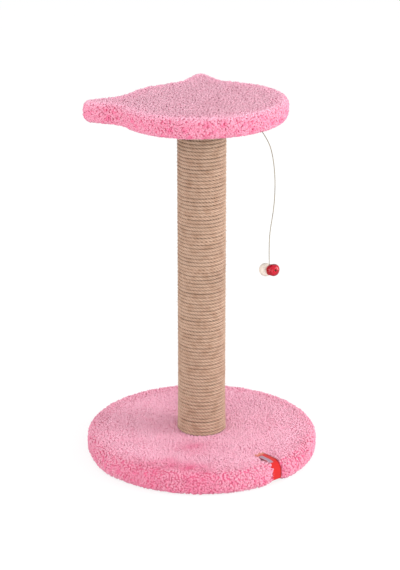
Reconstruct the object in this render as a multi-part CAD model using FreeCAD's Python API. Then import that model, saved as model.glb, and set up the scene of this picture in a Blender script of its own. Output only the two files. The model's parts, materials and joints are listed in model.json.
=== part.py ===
import FreeCAD, Part
import math
import os

# Cat scratcher: a plush-covered round base, a rope-wound post, a plush-covered
# platform cut like a cat's head, and a bead toy that hangs from the platform.
# Millimetres. The origin is on the floor under the post's axis, +Z is up,
# the ears point to +Y and the chin to -Y.

# Clearances
soft_gap = 0.3              # between a soft layer and what it lies on
fit_gap = 0.15              # round a fastener in its hole
overrun = 5.0               # how far a cutting shape runs past a face

# Plush and lining, the same on the base and on the platform
plush_thickness = 7.0       # cloth and standing pile
hem_thickness = 5.0         # plush turned under a board, its pile laid flat
squeezed_thickness = 1.5    # plush squeezed under the post
least_inner_radius = 1.0
lining_thickness = 1.4
lining_lift = 1.0           # the lining lies this far above the lowest plush
hem_lap = 18.0              # how far the lining laps over the plush turned under

# Base
base_radius = 175.0
base_board_thickness = 23.0
base_top_edge_radius = 12.8
base_bottom_edge_radius = 10.2
base_foot_width = 29.0      # ring of plush round the lining that meets the floor

# Red ribbon that is pulled over the rim of the base
ribbon_width = 17.0
ribbon_thickness = 0.8
ribbon_sink = 4.0           # how deep the ribbon presses the pile down
ribbon_side_room = 1.0
ribbon_top_run = 54.0       # from the ribbon's inner end to the rim
ribbon_end_room = 4.0       # from the ribbon's end under the base to the lining
ribbon_turn = -97.8         # direction of the ribbon from the axis, degrees

# Staples of flat wire
staple_crown = 12.0
staple_leg = 11.0
staple_wire_width = 1.1
staple_wire_thickness = 0.7
base_staple_count = 16
platform_staple_count = 12

# Bolt, stud, washer and tee nuts
bolt_radius = 4.0
bolt_tail = 3.0             # thread that stands past the nut
bolt_head_sides = 6
bolt_head_flats = 13.0
bolt_head_height = 5.3
bolt_pocket_room = 2.0      # round the washer in its pocket
bolt_pocket_depth = 9.0
lining_port_room = 1.0      # round the pocket, for the spanner
washer_radius = 12.0
washer_thickness = 1.6
tee_barrel_wall = 1.2
tee_barrel_length = 9.0
tee_flange_radius = 11.0
tee_flange_thickness = 1.5
stud_depth = 26.0           # thread set in the upper plug
stud_short = 1.0            # the stud ends this far under the nut's face

# Post
post_length = 487.0
core_radius = 30.5
core_wall = 5.0
plug_length = 32.0
brad_radius = 0.8
brad_length = 15.0
brad_count = 3
brad_edge = 14.0            # from the end of the tube to the brads

# Rope wound round the post
rope_diameter = 5.0
rope_loop_gap = 0.44        # between neighbouring loops
rope_loops = 12             # loops drawn at each end of the post
rope_hand = -1              # the winding climbs clockwise, seen from above
rope_start_turn = 60.0      # where the rope starts and ends, degrees
rope_foot_room = 2.0        # between the lowest loop and the pile round it
tack_shank_radius = 0.7
tack_head_radius = 2.0
tack_head_thickness = 0.6

# Platform
platform_board_thickness = 15.0
pad_thickness = 4.0
pad_edge_share = 0.9        # of the pad's thickness, most that its edge is rounded
platform_top_edge_radius = 10.9
platform_bottom_edge_radius = 11.8
platform_foot_width = 13.4  # ring of plush that the lining leaves bare
head_half_width = 129.2     # cheek to the head's middle
head_half_depth = 119.4     # chin to the head's middle
head_side_offset = 1.6      # the head's middle, to the right of the post's axis
head_chin_offset = 1.8      # and towards the chin
ear_tip_side_inset = 14.2   # centre of the rounded tip, in from the cheek's line
ear_tip_top_inset = 10.9    # and down from the brow's line
ear_tip_radius = 15.0
ear_outer_lean = 20.2       # flanks of the ear, degrees from +Y
ear_inner_lean = 71.4
ear_root_radius = 50.0
tip_fillet_share = 0.9      # of the ear's tip radius, most that an edge is rounded

# Hanging toy
toy_x = 23.0                # where the toy hangs under the platform
toy_chin_inset = 27.2       # and how far in from the chin's line
twine_diameter = 1.3
twine_play = 0.3
toy_staple_radius = 0.6
toy_staple_width = 7.0
toy_staple_leg = 12.0
top_knot_radius = 1.5
tie_knot_radius = 1.9
knot_sink = 0.5             # how far the string runs into a knot
end_knot_radius = 1.8
bead_radius = 9.8
bead_length = 16.0
bead_edge_share = 0.875     # of half the bead's length, rounded at its edges
bead_play = 0.35            # round the twine in a bead
bead_spacing = 4.6          # room between the beads for the knot
tie_turn = -109.0           # direction of the tie through the beads, degrees
tie_tilt = 14.5             # how far the tie rises towards the red bead, degrees

# Route of the hanging string, chosen by hand, from the middle of its top knot
toy_route = [
    (0.0, 0.0, 0.0),
    (5.6, -6.2, -12.8),
    (9.4, -10.5, -27.5),
    (11.9, -13.3, -48.1),
    (13.3, -14.8, -71.8),
    (13.2, -14.6, -98.6),
    (11.7, -13.0, -122.7),
    (8.8, -9.8, -149.9),
    (8.3, -9.2, -178.5),
    (8.9, -9.9, -206.4),
]
arc_share = 0.45            # of the shorter run, taken up by a bend

# Levels and radii that follow from the sizes above
base_board_low = hem_thickness + soft_gap
base_board_top = base_board_low + base_board_thickness
base_inner_top = base_board_top + soft_gap
base_height = base_inner_top + plush_thickness
foot_level = base_inner_top + squeezed_thickness
post_top = foot_level + post_length
platform_low = post_top - lining_lift
platform_board_low = platform_low + hem_thickness + soft_gap
platform_board_top = platform_board_low + platform_board_thickness
pad_low = platform_board_top + soft_gap
pad_top = pad_low + pad_thickness
platform_inner_top = pad_top + soft_gap
platform_height = platform_inner_top + plush_thickness - platform_low
hem_recess = lining_lift + lining_thickness + soft_gap
base_lining_radius = base_radius - base_foot_width
base_hem_radius = base_lining_radius - hem_lap
ribbon_start_radius = base_radius - ribbon_top_run
ribbon_under_radius = base_lining_radius + ribbon_end_room
platform_lining_radius = head_half_depth - platform_foot_width
platform_hem_radius = platform_lining_radius - hem_lap
ear_tip_x = head_half_width - ear_tip_side_inset
ear_tip_y = head_half_depth - ear_tip_top_inset
bolt_hole_radius = bolt_radius + fit_gap
bolt_pocket_radius = washer_radius + bolt_pocket_room
lining_port_radius = bolt_pocket_radius + lining_port_room
tee_barrel_radius = bolt_radius + tee_barrel_wall
bolt_seat = base_board_low + bolt_pocket_depth
core_bore = core_radius - core_wall
plug_radius = core_bore - fit_gap
rope_radius = rope_diameter / 2
rope_pitch = rope_diameter + rope_loop_gap
winding_radius = core_radius + soft_gap + rope_radius
rope_outside = winding_radius + rope_radius
twine_radius = twine_diameter / 2
bead_bore_radius = twine_radius + bead_play
bead_edge_radius = bead_edge_share * bead_length / 2
toy_y = toy_chin_inset - head_half_depth - head_chin_offset
toy_ring_radius = toy_staple_radius + twine_play + twine_radius
toy_crown_level = post_top - soft_gap - twine_radius - toy_ring_radius
toy_knot_level = toy_crown_level - toy_ring_radius - twine_radius - soft_gap - top_knot_radius
toy_knot = FreeCAD.Vector(toy_x, toy_y, toy_knot_level)

origin = FreeCAD.Vector(0, 0, 0)
up = FreeCAD.Vector(0, 0, 1)
side = FreeCAD.Vector(1, 0, 0)
full_turn = 360.0
quarter_turn = 90.0


# Points, directions and wires

def section_point(radius, level):
    return FreeCAD.Vector(radius, 0, level)


def heading(degrees):
    angle = math.radians(degrees)
    return FreeCAD.Vector(math.cos(angle), math.sin(angle), 0)


def unit(vector):
    return vector * (1 / vector.Length)


def line(first, last):
    return Part.LineSegment(first, last).toShape()


def rounded_face(corners):
    # Closed outline through corners, each a point and the radius that rounds it.
    edges = []
    ends = []
    for index, (point, radius) in enumerate(corners):
        back = unit(corners[index - 1][0] - point)
        ahead = unit(corners[(index + 1) % len(corners)][0] - point)
        half = back.getAngle(ahead) / 2
        if radius > 0:
            reach = radius / math.tan(half)
            middle = point + unit(back + ahead) * (radius / math.sin(half) - radius)
            edges.append(Part.Arc(point + back * reach, middle, point + ahead * reach).toShape())
            ends.append((point + back * reach, point + ahead * reach))
        else:
            ends.append((point, point))
    for index, (_, leave) in enumerate(ends):
        following = ends[(index + 1) % len(ends)][0]
        if (following - leave).Length > Part.Precision.confusion():
            edges.append(line(leave, following))
    return Part.Face(Part.Wire(Part.sortEdges(edges)[0]))


def turned(corners):
    # Solid of revolution from corners given as radius, level and rounding.
    face = rounded_face([(section_point(radius, level), rounding) for radius, level, rounding in corners])
    return face.revolve(origin, up, full_turn)


def disc(radius, low, height):
    return Part.makeCylinder(radius, height, FreeCAD.Vector(0, 0, low))


def turn_about_axis(shape, degrees):
    shape.rotate(origin, up, degrees)
    return shape


def swept(path, radius, start, direction):
    ring = Part.Wire(Part.Circle(start, direction, radius).toShape())
    return path.makePipeShell([ring], True, False)


def inner_radius(outer, wall):
    return max(outer - wall, least_inner_radius)


# Staples

def staple(room):
    # Crown under the lining and two legs up; room makes the slot that it sits in.
    width = staple_wire_width + 2 * room
    thickness = staple_wire_thickness + 2 * room
    crown_length = staple_crown + 2 * room
    corner = FreeCAD.Vector(-crown_length / 2, -width / 2, -staple_wire_thickness - room)
    pieces = [Part.makeBox(crown_length, width, thickness, corner)]
    for place in (-crown_length / 2, crown_length / 2 - thickness):
        foot = FreeCAD.Vector(place, -width / 2, -staple_wire_thickness - room)
        pieces.append(Part.makeBox(thickness, width, staple_wire_thickness + staple_leg + 2 * room, foot))
    return pieces[0].fuse(pieces[1:]).removeSplitter()


def staple_ring(radius, level, count, room):
    ring = []
    for number in range(count):
        piece = staple(room)
        piece.translate(FreeCAD.Vector(0, -radius, level))
        ring.append(turn_about_axis(piece, full_turn * number / count))
    return Part.makeCompound(ring)


def base_staples(room):
    return staple_ring((base_hem_radius + base_lining_radius) / 2, lining_lift, base_staple_count, room)


def platform_staples(room):
    radius = (platform_hem_radius + platform_lining_radius) / 2
    return staple_ring(radius, platform_low + lining_lift, platform_staple_count, room)


def ribbon_staple(room):
    piece = staple(room)
    turn_about_axis(piece, quarter_turn)
    middle = (ribbon_under_radius + base_radius - base_bottom_edge_radius) / 2
    level = ribbon_sink - soft_gap - ribbon_thickness
    piece.translate(section_point(middle, level))
    return turn_about_axis(piece, ribbon_turn)


# Base

def rim_groove():
    # Bed of the ribbon: over the top edge of the base, down the rim and under it.
    depth = ribbon_sink
    outside = base_radius + overrun
    above = base_height + overrun
    face = rounded_face([
        (section_point(ribbon_start_radius, above), 0),
        (section_point(ribbon_start_radius, base_height - depth), 0),
        (section_point(base_radius - depth, base_height - depth), inner_radius(base_top_edge_radius, depth)),
        (section_point(base_radius - depth, depth), inner_radius(base_bottom_edge_radius, depth)),
        (section_point(ribbon_under_radius, depth), 0),
        (section_point(ribbon_under_radius, -overrun), 0),
        (section_point(outside, -overrun), 0),
        (section_point(outside, above), 0),
    ])
    return across_rim(face, ribbon_width + 2 * ribbon_side_room)


def across_rim(face, width):
    face.translate(FreeCAD.Vector(0, -width / 2, 0))
    return turn_about_axis(face.extrude(FreeCAD.Vector(0, width, 0)), ribbon_turn)


def label_ribbon():
    inside = ribbon_sink - soft_gap
    outside = inside - ribbon_thickness
    start = ribbon_start_radius + soft_gap
    finish = ribbon_under_radius + soft_gap
    corners = []
    for depth in (inside, outside):
        top_radius = inner_radius(base_top_edge_radius, depth)
        bottom_radius = inner_radius(base_bottom_edge_radius, depth)
        run = [
            (section_point(start, base_height - depth), 0),
            (section_point(base_radius - depth, base_height - depth), top_radius),
            (section_point(base_radius - depth, depth), bottom_radius),
            (section_point(finish, depth), 0),
        ]
        corners += run if depth == inside else run[::-1]
    return across_rim(rounded_face(corners), ribbon_width).cut(ribbon_staple(fit_gap))


def base_cover():
    inside = base_radius - plush_thickness
    lining_room = base_lining_radius + soft_gap
    post_room = rope_outside + rope_foot_room
    cover = turned([
        (bolt_hole_radius, base_inner_top, 0),
        (inside, base_inner_top, inner_radius(base_top_edge_radius, plush_thickness)),
        (inside, hem_thickness, inner_radius(base_bottom_edge_radius, hem_thickness)),
        (base_hem_radius, hem_thickness, 0),
        (base_hem_radius, hem_recess, 0),
        (lining_room, hem_recess, 0),
        (lining_room, 0, 0),
        (base_radius, 0, base_bottom_edge_radius),
        (base_radius, base_height, base_top_edge_radius),
        (post_room, base_height, 0),
        (post_room, foot_level, 0),
        (bolt_hole_radius, foot_level, 0),
    ])
    return cover.cut([rim_groove(), base_staples(fit_gap), ribbon_staple(fit_gap)])


def base_board():
    edge = base_radius - plush_thickness - soft_gap
    board = turned([
        (bolt_hole_radius, base_board_low, 0),
        (edge, base_board_low, inner_radius(base_bottom_edge_radius, hem_thickness)),
        (edge, base_board_top, inner_radius(base_top_edge_radius, plush_thickness)),
        (bolt_hole_radius, base_board_top, 0),
    ])
    pocket = disc(bolt_pocket_radius, base_board_low - overrun, bolt_pocket_depth + overrun)
    return board.cut([pocket, base_staples(fit_gap), ribbon_staple(fit_gap)])


def base_lining():
    sheet = disc(base_lining_radius, lining_lift, lining_thickness)
    port = disc(lining_port_radius, lining_lift - overrun, lining_thickness + 2 * overrun)
    return sheet.cut([port, base_staples(fit_gap)])


def base_washer():
    low = bolt_seat - washer_thickness
    hole = disc(bolt_hole_radius, low - overrun, washer_thickness + 2 * overrun)
    return disc(washer_radius, low, washer_thickness).cut(hole)


def base_bolt():
    seat = bolt_seat - washer_thickness
    corner_radius = bolt_head_flats / 2 / math.cos(math.pi / bolt_head_sides)
    sides = range(bolt_head_sides + 1)
    points = [heading(full_turn * number / bolt_head_sides) * corner_radius for number in sides]
    head = Part.Face(Part.makePolygon(points)).extrude(up * bolt_head_height)
    head.translate(up * (seat - bolt_head_height))
    tip = foot_level + plug_length + tee_flange_thickness + bolt_tail
    return head.fuse(disc(bolt_radius, seat, tip - seat)).removeSplitter()


# Post

def brad(room, level, number):
    outer = core_radius - fit_gap + room
    length = brad_length + 2 * room
    inward = heading(full_turn * number / brad_count) * -1
    return Part.makeCylinder(brad_radius + room, length, inward * -outer + up * level, inward)


def plug_brads(room):
    levels = (foot_level + brad_edge, post_top - brad_edge)
    return Part.makeCompound([brad(room, level, number) for level in levels for number in range(brad_count)])


def post_core():
    tube = disc(core_radius, foot_level, post_length)
    bore = disc(core_bore, foot_level - overrun, post_length + 2 * overrun)
    return tube.cut([bore, plug_brads(fit_gap), rope_tacks(fit_gap)])


def tee_nut(face_level, room):
    # Flange on top of face_level, barrel down from it.
    flange = disc(tee_flange_radius + room, face_level, tee_flange_thickness + room)
    barrel = disc(tee_barrel_radius + room, face_level - tee_barrel_length - room, tee_barrel_length + 2 * room)
    return flange.fuse(barrel).removeSplitter()


def bored_nut(face_level):
    low = face_level - tee_barrel_length - overrun
    bore = disc(bolt_hole_radius, low, tee_barrel_length + tee_flange_thickness + 2 * overrun)
    return tee_nut(face_level, 0).cut(bore)


def lower_plug():
    plug = disc(plug_radius, foot_level, plug_length)
    hole = disc(bolt_hole_radius, foot_level - overrun, plug_length + 2 * overrun)
    return plug.cut([hole, tee_nut(foot_level + plug_length, fit_gap), plug_brads(fit_gap)])


def lower_tee_nut():
    return bored_nut(foot_level + plug_length)


def upper_plug():
    plug = disc(plug_radius, post_top - plug_length, plug_length)
    hole = disc(bolt_hole_radius, post_top - stud_depth - fit_gap, stud_depth + overrun)
    return plug.cut([hole, plug_brads(fit_gap)])


# Rope

def winding_point(turns, level):
    return heading(rope_start_turn + rope_hand * full_turn * turns) * winding_radius + up * level


def winding_heading(turns):
    around = heading(rope_start_turn + rope_hand * (full_turn * turns + quarter_turn))
    return unit(around * (2 * math.pi * winding_radius) + up * rope_pitch)


def arc_along(first, direction, last):
    # Arc from first, leaving along direction, to last.
    chord = last - first
    half = direction.getAngle(chord)
    bulge = unit(direction - chord * (direction.dot(chord) / chord.dot(chord)))
    middle = (first + last) / 2 + bulge * (chord.Length / 2 * math.tan(half / 2))
    return Part.Arc(first, middle, last).toShape()


def half_turn(first, leave, last, arrive):
    # Two arcs that meet smoothly, a quarter of a loop each.
    chord = last - first
    both = leave + arrive
    spread = 2 * (1 - leave.dot(arrive))
    root = math.sqrt(chord.dot(both) ** 2 + spread * chord.dot(chord))
    reach = (root - chord.dot(both)) / spread
    near = first + leave * reach
    far = last - arrive * reach
    meeting = (near + far) / 2
    return [arc_along(first, leave, meeting), arc_along(meeting, unit(far - near), last)]


def winding_path(low):
    # A straight end, the loops in half turns, and another straight end.
    steps = 2 * rope_loops
    points = [winding_point(step / 2, low + rope_pitch * step / 2) for step in range(steps + 1)]
    headings = [winding_heading(step / 2) for step in range(steps + 1)]
    edges = [line(points[0] - headings[0] * rope_diameter, points[0])]
    for step in range(steps):
        edges += half_turn(points[step], headings[step], points[step + 1], headings[step + 1])
    edges.append(line(points[-1], points[-1] + headings[-1] * rope_diameter))
    return Part.Wire(edges)


def winding(low):
    path = winding_path(low)
    start = winding_point(0, low) - winding_heading(0) * rope_diameter
    tube = swept(path, rope_radius, start, winding_heading(0))
    return tube.cut(rope_tacks(fit_gap))


def report_winding(name, low, shape):
    # Least gap between loops, measured on points along the path.
    per_loop = 200
    path = winding_path(low)
    points = path.discretize(Number=per_loop * rope_loops)
    least = min(
        (points[index] - points[other]).Length
        for index in range(len(points))
        for other in range(index + per_loop // 2, min(index + per_loop * 3 // 2, len(points)))
    )
    plain = math.pi * rope_radius ** 2 * path.Length
    print(name, "least gap", round(least - rope_diameter, 3), "volume share", round(shape.Volume / plain, 4))


bottom_winding_low = foot_level + soft_gap + rope_radius
bottom_winding_high = bottom_winding_low + rope_pitch * rope_loops
top_winding_high = post_top - soft_gap - rope_radius
top_winding_low = top_winding_high - rope_pitch * rope_loops


def rope_winding_bottom():
    return winding(bottom_winding_low)


def rope_winding_top():
    return winding(top_winding_low)


def rope_winding_middle():
    # Plain sleeve for the loops between the two drawn ends.
    low = bottom_winding_high + rope_radius + soft_gap
    high = top_winding_low - rope_radius - soft_gap
    bore = disc(core_radius + soft_gap, low - overrun, high - low + 2 * overrun)
    return disc(rope_outside, low, high - low).cut(bore)


def tack(point, inward, room):
    # Head on the rope, shank through the rope and the wall of the tube.
    face = point - inward * (rope_radius + soft_gap + room)
    shank_length = rope_diameter + 2 * soft_gap + core_wall + 2 * room
    shank = Part.makeCylinder(tack_shank_radius + room, shank_length, face, inward)
    head = Part.makeCylinder(tack_head_radius + room, tack_head_thickness + room, face, inward * -1)
    return shank.fuse(head).removeSplitter()


def rope_tacks(room):
    start = winding_point(0, bottom_winding_low)
    finish = winding_point(rope_loops, top_winding_high)
    start_middle = start - winding_heading(0) * rope_radius
    finish_middle = finish + winding_heading(rope_loops) * rope_radius
    inward_start = heading(rope_start_turn) * -1
    inward_finish = heading(rope_start_turn + rope_hand * full_turn * rope_loops) * -1
    return Part.makeCompound([
        tack(start_middle, inward_start, room),
        tack(finish_middle, inward_finish, room),
    ])


# Platform

def head_edges(inset):
    # Right half of the cat's head, arcs and straight flanks, drawn in by inset.
    shift = (head_half_width - head_half_depth) / (2 - math.sqrt(2))
    cheek_centre = FreeCAD.Vector(shift, 0, 0)
    brow_centre = FreeCAD.Vector(0, -shift, 0)
    cheek_radius = head_half_width - shift - inset
    brow_radius = head_half_depth + shift - inset
    tip = FreeCAD.Vector(ear_tip_x, ear_tip_y, 0)
    tip_radius = ear_tip_radius - inset
    root_radius = ear_root_radius + inset
    outer_along = heading(quarter_turn - ear_outer_lean)
    outer_normal = heading(-ear_outer_lean)
    inner_along = heading(quarter_turn - ear_inner_lean)
    inner_normal = heading(2 * quarter_turn - ear_inner_lean)
    outer_root = root_centre(cheek_centre, cheek_radius, tip, tip_radius, outer_normal, outer_along, root_radius)
    inner_root = root_centre(brow_centre, brow_radius, tip, tip_radius, inner_normal, inner_along, root_radius)
    diagonal = unit(FreeCAD.Vector(1, -1, 0))
    cheek_end = unit(outer_root - cheek_centre)
    brow_end = unit(inner_root - brow_centre)
    return [
        arc_between(cheek_centre, cheek_radius, diagonal, cheek_end),
        arc_between(outer_root, root_radius, cheek_end * -1, outer_normal * -1),
        line(outer_root - outer_normal * root_radius, tip + outer_normal * tip_radius),
        arc_between(tip, tip_radius, outer_normal, inner_normal),
        line(tip + inner_normal * tip_radius, inner_root - inner_normal * root_radius),
        arc_between(inner_root, root_radius, inner_normal * -1, brow_end * -1),
    ]


def root_centre(centre, radius, tip, tip_radius, normal, along, root_radius):
    # Centre of the hollow arc between an ear's flank and the head.
    outward = normal.dot(tip - centre) + tip_radius + root_radius
    sideways = math.sqrt((radius + root_radius) ** 2 - outward ** 2)
    return centre + normal * outward + along * sideways


def arc_between(centre, radius, first, last):
    middle = unit(first + last)
    return Part.Arc(centre + first * radius, centre + middle * radius, centre + last * radius).toShape()


def head_face(inset, level):
    shift = (head_half_width - head_half_depth) / (2 - math.sqrt(2))
    long_radius = head_half_depth + shift - inset
    right = head_edges(inset)
    left = [edge.mirror(origin, side) for edge in right]
    chin_centre = FreeCAD.Vector(0, shift, 0)
    brow_centre = FreeCAD.Vector(0, -shift, 0)
    diagonal = unit(FreeCAD.Vector(1, -1, 0))
    opposite = FreeCAD.Vector(-diagonal.x, diagonal.y, 0)
    brow = unit(right[-1].Vertexes[-1].Point - brow_centre)
    mirrored = FreeCAD.Vector(-brow.x, brow.y, 0)
    edges = right + left
    edges.append(arc_between(chin_centre, long_radius, opposite, diagonal))
    edges.append(arc_between(brow_centre, long_radius, brow, mirrored))
    face = Part.Face(Part.Wire(Part.sortEdges(edges)[0]))
    face.translate(FreeCAD.Vector(head_side_offset, -head_chin_offset, level))
    return face


def head_slab(inset, low, high, bottom_radius, top_radius):
    # Slab with the head's outline, its lower and upper edges rounded.
    slab = head_face(inset, low).extrude(up * (high - low))
    most = tip_fillet_share * (ear_tip_radius - inset)
    for level, radius in ((low, bottom_radius), (high, top_radius)):
        if radius > 0:
            flat = Part.Precision.confusion()
            rim = [edge for edge in slab.Edges if abs(edge.BoundBox.ZMin - level) < flat
                   and abs(edge.BoundBox.ZMax - level) < flat]
            slab = slab.makeFillet(min(radius, most), rim)
    return slab


def pad_edge_radius():
    return min(inner_radius(platform_top_edge_radius, plush_thickness), pad_edge_share * pad_thickness)


def platform_cover():
    high = platform_low + platform_height
    outer = head_slab(0, platform_low, high, platform_bottom_edge_radius, platform_top_edge_radius)
    cavity = head_slab(
        plush_thickness,
        platform_low + hem_thickness,
        platform_inner_top,
        inner_radius(platform_bottom_edge_radius, hem_thickness),
        pad_edge_radius(),
    )
    opening = disc(platform_hem_radius, platform_low - overrun, hem_thickness + 2 * overrun)
    recess = disc(platform_lining_radius + soft_gap, platform_low - overrun, hem_recess + overrun)
    return outer.cut([cavity, opening, recess, platform_staples(fit_gap), toy_staple(fit_gap)])


def platform_board():
    inset = plush_thickness + soft_gap
    lower_edge = inner_radius(platform_bottom_edge_radius, hem_thickness)
    board = head_slab(inset, platform_board_low, platform_board_top, lower_edge, 0)
    hole = disc(bolt_hole_radius, platform_board_low - overrun, platform_board_thickness + 2 * overrun)
    nut = tee_nut(platform_board_top - tee_flange_thickness, fit_gap)
    return board.cut([hole, nut, platform_staples(fit_gap), toy_staple(fit_gap)])


def platform_pad():
    return head_slab(plush_thickness + soft_gap, pad_low, pad_top, 0, pad_edge_radius())


def platform_lining():
    sheet = disc(platform_lining_radius, post_top, lining_thickness)
    hole = disc(bolt_hole_radius, post_top - overrun, lining_thickness + 2 * overrun)
    return sheet.cut([hole, platform_staples(fit_gap), toy_staple(fit_gap)])


def platform_tee_nut():
    return bored_nut(platform_board_top - tee_flange_thickness)


def platform_stud():
    low = post_top - stud_depth
    return disc(bolt_radius, low, platform_board_top - stud_short - low)


# Hanging toy

def toy_staple(room):
    # Round wire: a crown along X that stands off the lining, and two legs into the board.
    radius = toy_staple_radius + room
    half = toy_staple_width / 2
    middle = FreeCAD.Vector(toy_x, toy_y, toy_crown_level)
    crown = Part.makeCylinder(radius, toy_staple_width, middle - side * half, side)
    pieces = []
    for way in (-half, half):
        corner = middle + side * way
        pieces.append(Part.makeSphere(radius, corner))
        pieces.append(Part.makeCylinder(radius, toy_staple_leg + room, corner, up))
    return crown.fuse(pieces).removeSplitter()


def toy_loop():
    return Part.makeTorus(toy_ring_radius, twine_radius, FreeCAD.Vector(toy_x, toy_y, toy_crown_level), side)


def toy_top_knot():
    return Part.makeSphere(top_knot_radius, toy_knot)


def route_points():
    # The first and last points stop short of the middles of the knots.
    points = [toy_knot + FreeCAD.Vector(*offset) for offset in toy_route]
    points[0] = points[0] + unit(points[1] - points[0]) * (top_knot_radius - knot_sink)
    return points


def string_path(points):
    # Straight runs joined by arcs that take up arc_share of the shorter run.
    edges = []
    radii = []
    start = points[0]
    for before, corner, after in zip(points, points[1:], points[2:]):
        back = unit(before - corner)
        ahead = unit(after - corner)
        half = back.getAngle(ahead) / 2
        reach = arc_share * min((before - corner).Length, (after - corner).Length)
        radius = reach * math.tan(half)
        middle = corner + unit(back + ahead) * (radius / math.sin(half) - radius)
        edges.append(line(start, corner + back * reach))
        edges.append(Part.Arc(corner + back * reach, middle, corner + ahead * reach).toShape())
        start = corner + ahead * reach
        radii.append(round(radius, 1))
    edges.append(line(start, points[-1]))
    return Part.Wire(edges), radii


def toy_string():
    points = route_points()
    path, radii = string_path(points)
    tube = swept(path, twine_radius, points[0], unit(points[1] - points[0]))
    plain = math.pi * twine_radius ** 2 * path.Length
    print("toy_string radii", radii, "length", round(path.Length, 1))
    print("toy_string volume share", round(tube.Volume / plain, 4))
    return tube


def tie_middle():
    return route_points()[-1] - up * (tie_knot_radius - knot_sink)


def along_tie(shape, distance):
    # Lay a shape built round +Z on the tie, distance from its middle.
    tilt = math.radians(tie_tilt)
    along = heading(tie_turn) * math.cos(tilt) + up * math.sin(tilt)
    shape.rotate(origin, FreeCAD.Vector(0, 1, 0), quarter_turn - tie_tilt)
    turn_about_axis(shape, tie_turn)
    shape.translate(tie_middle() + along * distance)
    return shape


def toy_tie_knot():
    ball = along_tie(Part.makeSphere(tie_knot_radius), 0)
    length = 2 * tie_knot_radius + 2 * overrun
    hole = Part.makeCylinder(twine_radius + fit_gap, length, FreeCAD.Vector(0, 0, -length / 2))
    return ball.cut(along_tie(hole, 0))


def toy_tie():
    # Short twine through both beads with a knot at each end.
    reach = bead_spacing / 2 + bead_length + twine_play + end_knot_radius
    cord = Part.makeCylinder(twine_radius, 2 * reach, FreeCAD.Vector(0, 0, -reach))
    knots = [Part.makeSphere(end_knot_radius, FreeCAD.Vector(0, 0, place)) for place in (-reach, reach)]
    return along_tie(cord.fuse(knots).removeSplitter(), 0)


def bead(distance):
    half = bead_length / 2
    body = turned([
        (bead_bore_radius, -half, 0),
        (bead_radius, -half, bead_edge_radius),
        (bead_radius, half, bead_edge_radius),
        (bead_bore_radius, half, 0),
    ])
    return along_tie(body, distance)


def toy_bead_red():
    return bead((bead_spacing + bead_length) / 2)


def toy_bead_white():
    return bead(-(bead_spacing + bead_length) / 2)


def main():
    os.makedirs("parts", exist_ok=True)
    nodes = {
        "base_board": base_board(),
        "base_cover": base_cover(),
        "base_lining": base_lining(),
        "base_staples": base_staples(0),
        "base_washer": base_washer(),
        "base_bolt": base_bolt(),
        "label_ribbon": label_ribbon(),
        "label_staple": ribbon_staple(0),
        "post_core": post_core(),
        "lower_plug": lower_plug(),
        "lower_tee_nut": lower_tee_nut(),
        "upper_plug": upper_plug(),
        "plug_brads": plug_brads(0),
        "rope_winding_bottom": rope_winding_bottom(),
        "rope_winding_middle": rope_winding_middle(),
        "rope_winding_top": rope_winding_top(),
        "rope_tacks": rope_tacks(0),
        "platform_board": platform_board(),
        "platform_pad": platform_pad(),
        "platform_cover": platform_cover(),
        "platform_lining": platform_lining(),
        "platform_staples": platform_staples(0),
        "platform_stud": platform_stud(),
        "platform_tee_nut": platform_tee_nut(),
        "toy_staple": toy_staple(0),
        "toy_loop": toy_loop(),
        "toy_top_knot": toy_top_knot(),
        "toy_string": toy_string(),
        "toy_tie": toy_tie(),
        "toy_tie_knot": toy_tie_knot(),
        "toy_bead_red": toy_bead_red(),
        "toy_bead_white": toy_bead_white(),
    }
    report_winding("rope_winding_bottom", bottom_winding_low, nodes["rope_winding_bottom"])
    report_winding("rope_winding_top", top_winding_low, nodes["rope_winding_top"])
    for name, shape in nodes.items():
        shape.exportStep("parts/" + name + ".step")


main()
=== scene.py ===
import json
import math

import bpy
import numpy as np
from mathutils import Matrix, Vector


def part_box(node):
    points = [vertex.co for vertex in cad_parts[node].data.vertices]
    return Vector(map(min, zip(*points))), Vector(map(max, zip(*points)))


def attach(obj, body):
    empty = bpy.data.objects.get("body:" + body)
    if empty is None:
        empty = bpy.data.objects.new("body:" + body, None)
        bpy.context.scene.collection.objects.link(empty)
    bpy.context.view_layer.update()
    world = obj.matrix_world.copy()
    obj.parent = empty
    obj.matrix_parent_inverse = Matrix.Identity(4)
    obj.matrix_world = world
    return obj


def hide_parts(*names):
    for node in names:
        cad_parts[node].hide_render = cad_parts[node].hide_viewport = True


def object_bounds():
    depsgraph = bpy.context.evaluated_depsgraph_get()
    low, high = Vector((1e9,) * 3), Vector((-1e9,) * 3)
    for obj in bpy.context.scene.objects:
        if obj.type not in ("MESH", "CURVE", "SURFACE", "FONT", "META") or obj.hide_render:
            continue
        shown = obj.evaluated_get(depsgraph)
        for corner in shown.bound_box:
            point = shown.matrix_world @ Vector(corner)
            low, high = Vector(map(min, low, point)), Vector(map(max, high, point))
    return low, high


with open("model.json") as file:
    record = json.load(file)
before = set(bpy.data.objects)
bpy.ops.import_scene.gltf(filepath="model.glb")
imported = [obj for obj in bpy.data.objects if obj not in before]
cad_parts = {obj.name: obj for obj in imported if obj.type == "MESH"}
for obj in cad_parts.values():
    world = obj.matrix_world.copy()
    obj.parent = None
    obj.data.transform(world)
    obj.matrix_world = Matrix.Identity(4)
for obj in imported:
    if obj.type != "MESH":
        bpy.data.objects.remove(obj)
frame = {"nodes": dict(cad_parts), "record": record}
cadLow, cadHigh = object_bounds()
cadNodes = frame["nodes"]
mm = 0.001  # sizes below are in millimetres, meshes in metres
goldenTurn = math.pi * (3 - math.sqrt(5))
tiny = 1e-12  # keeps a division from failing


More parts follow.
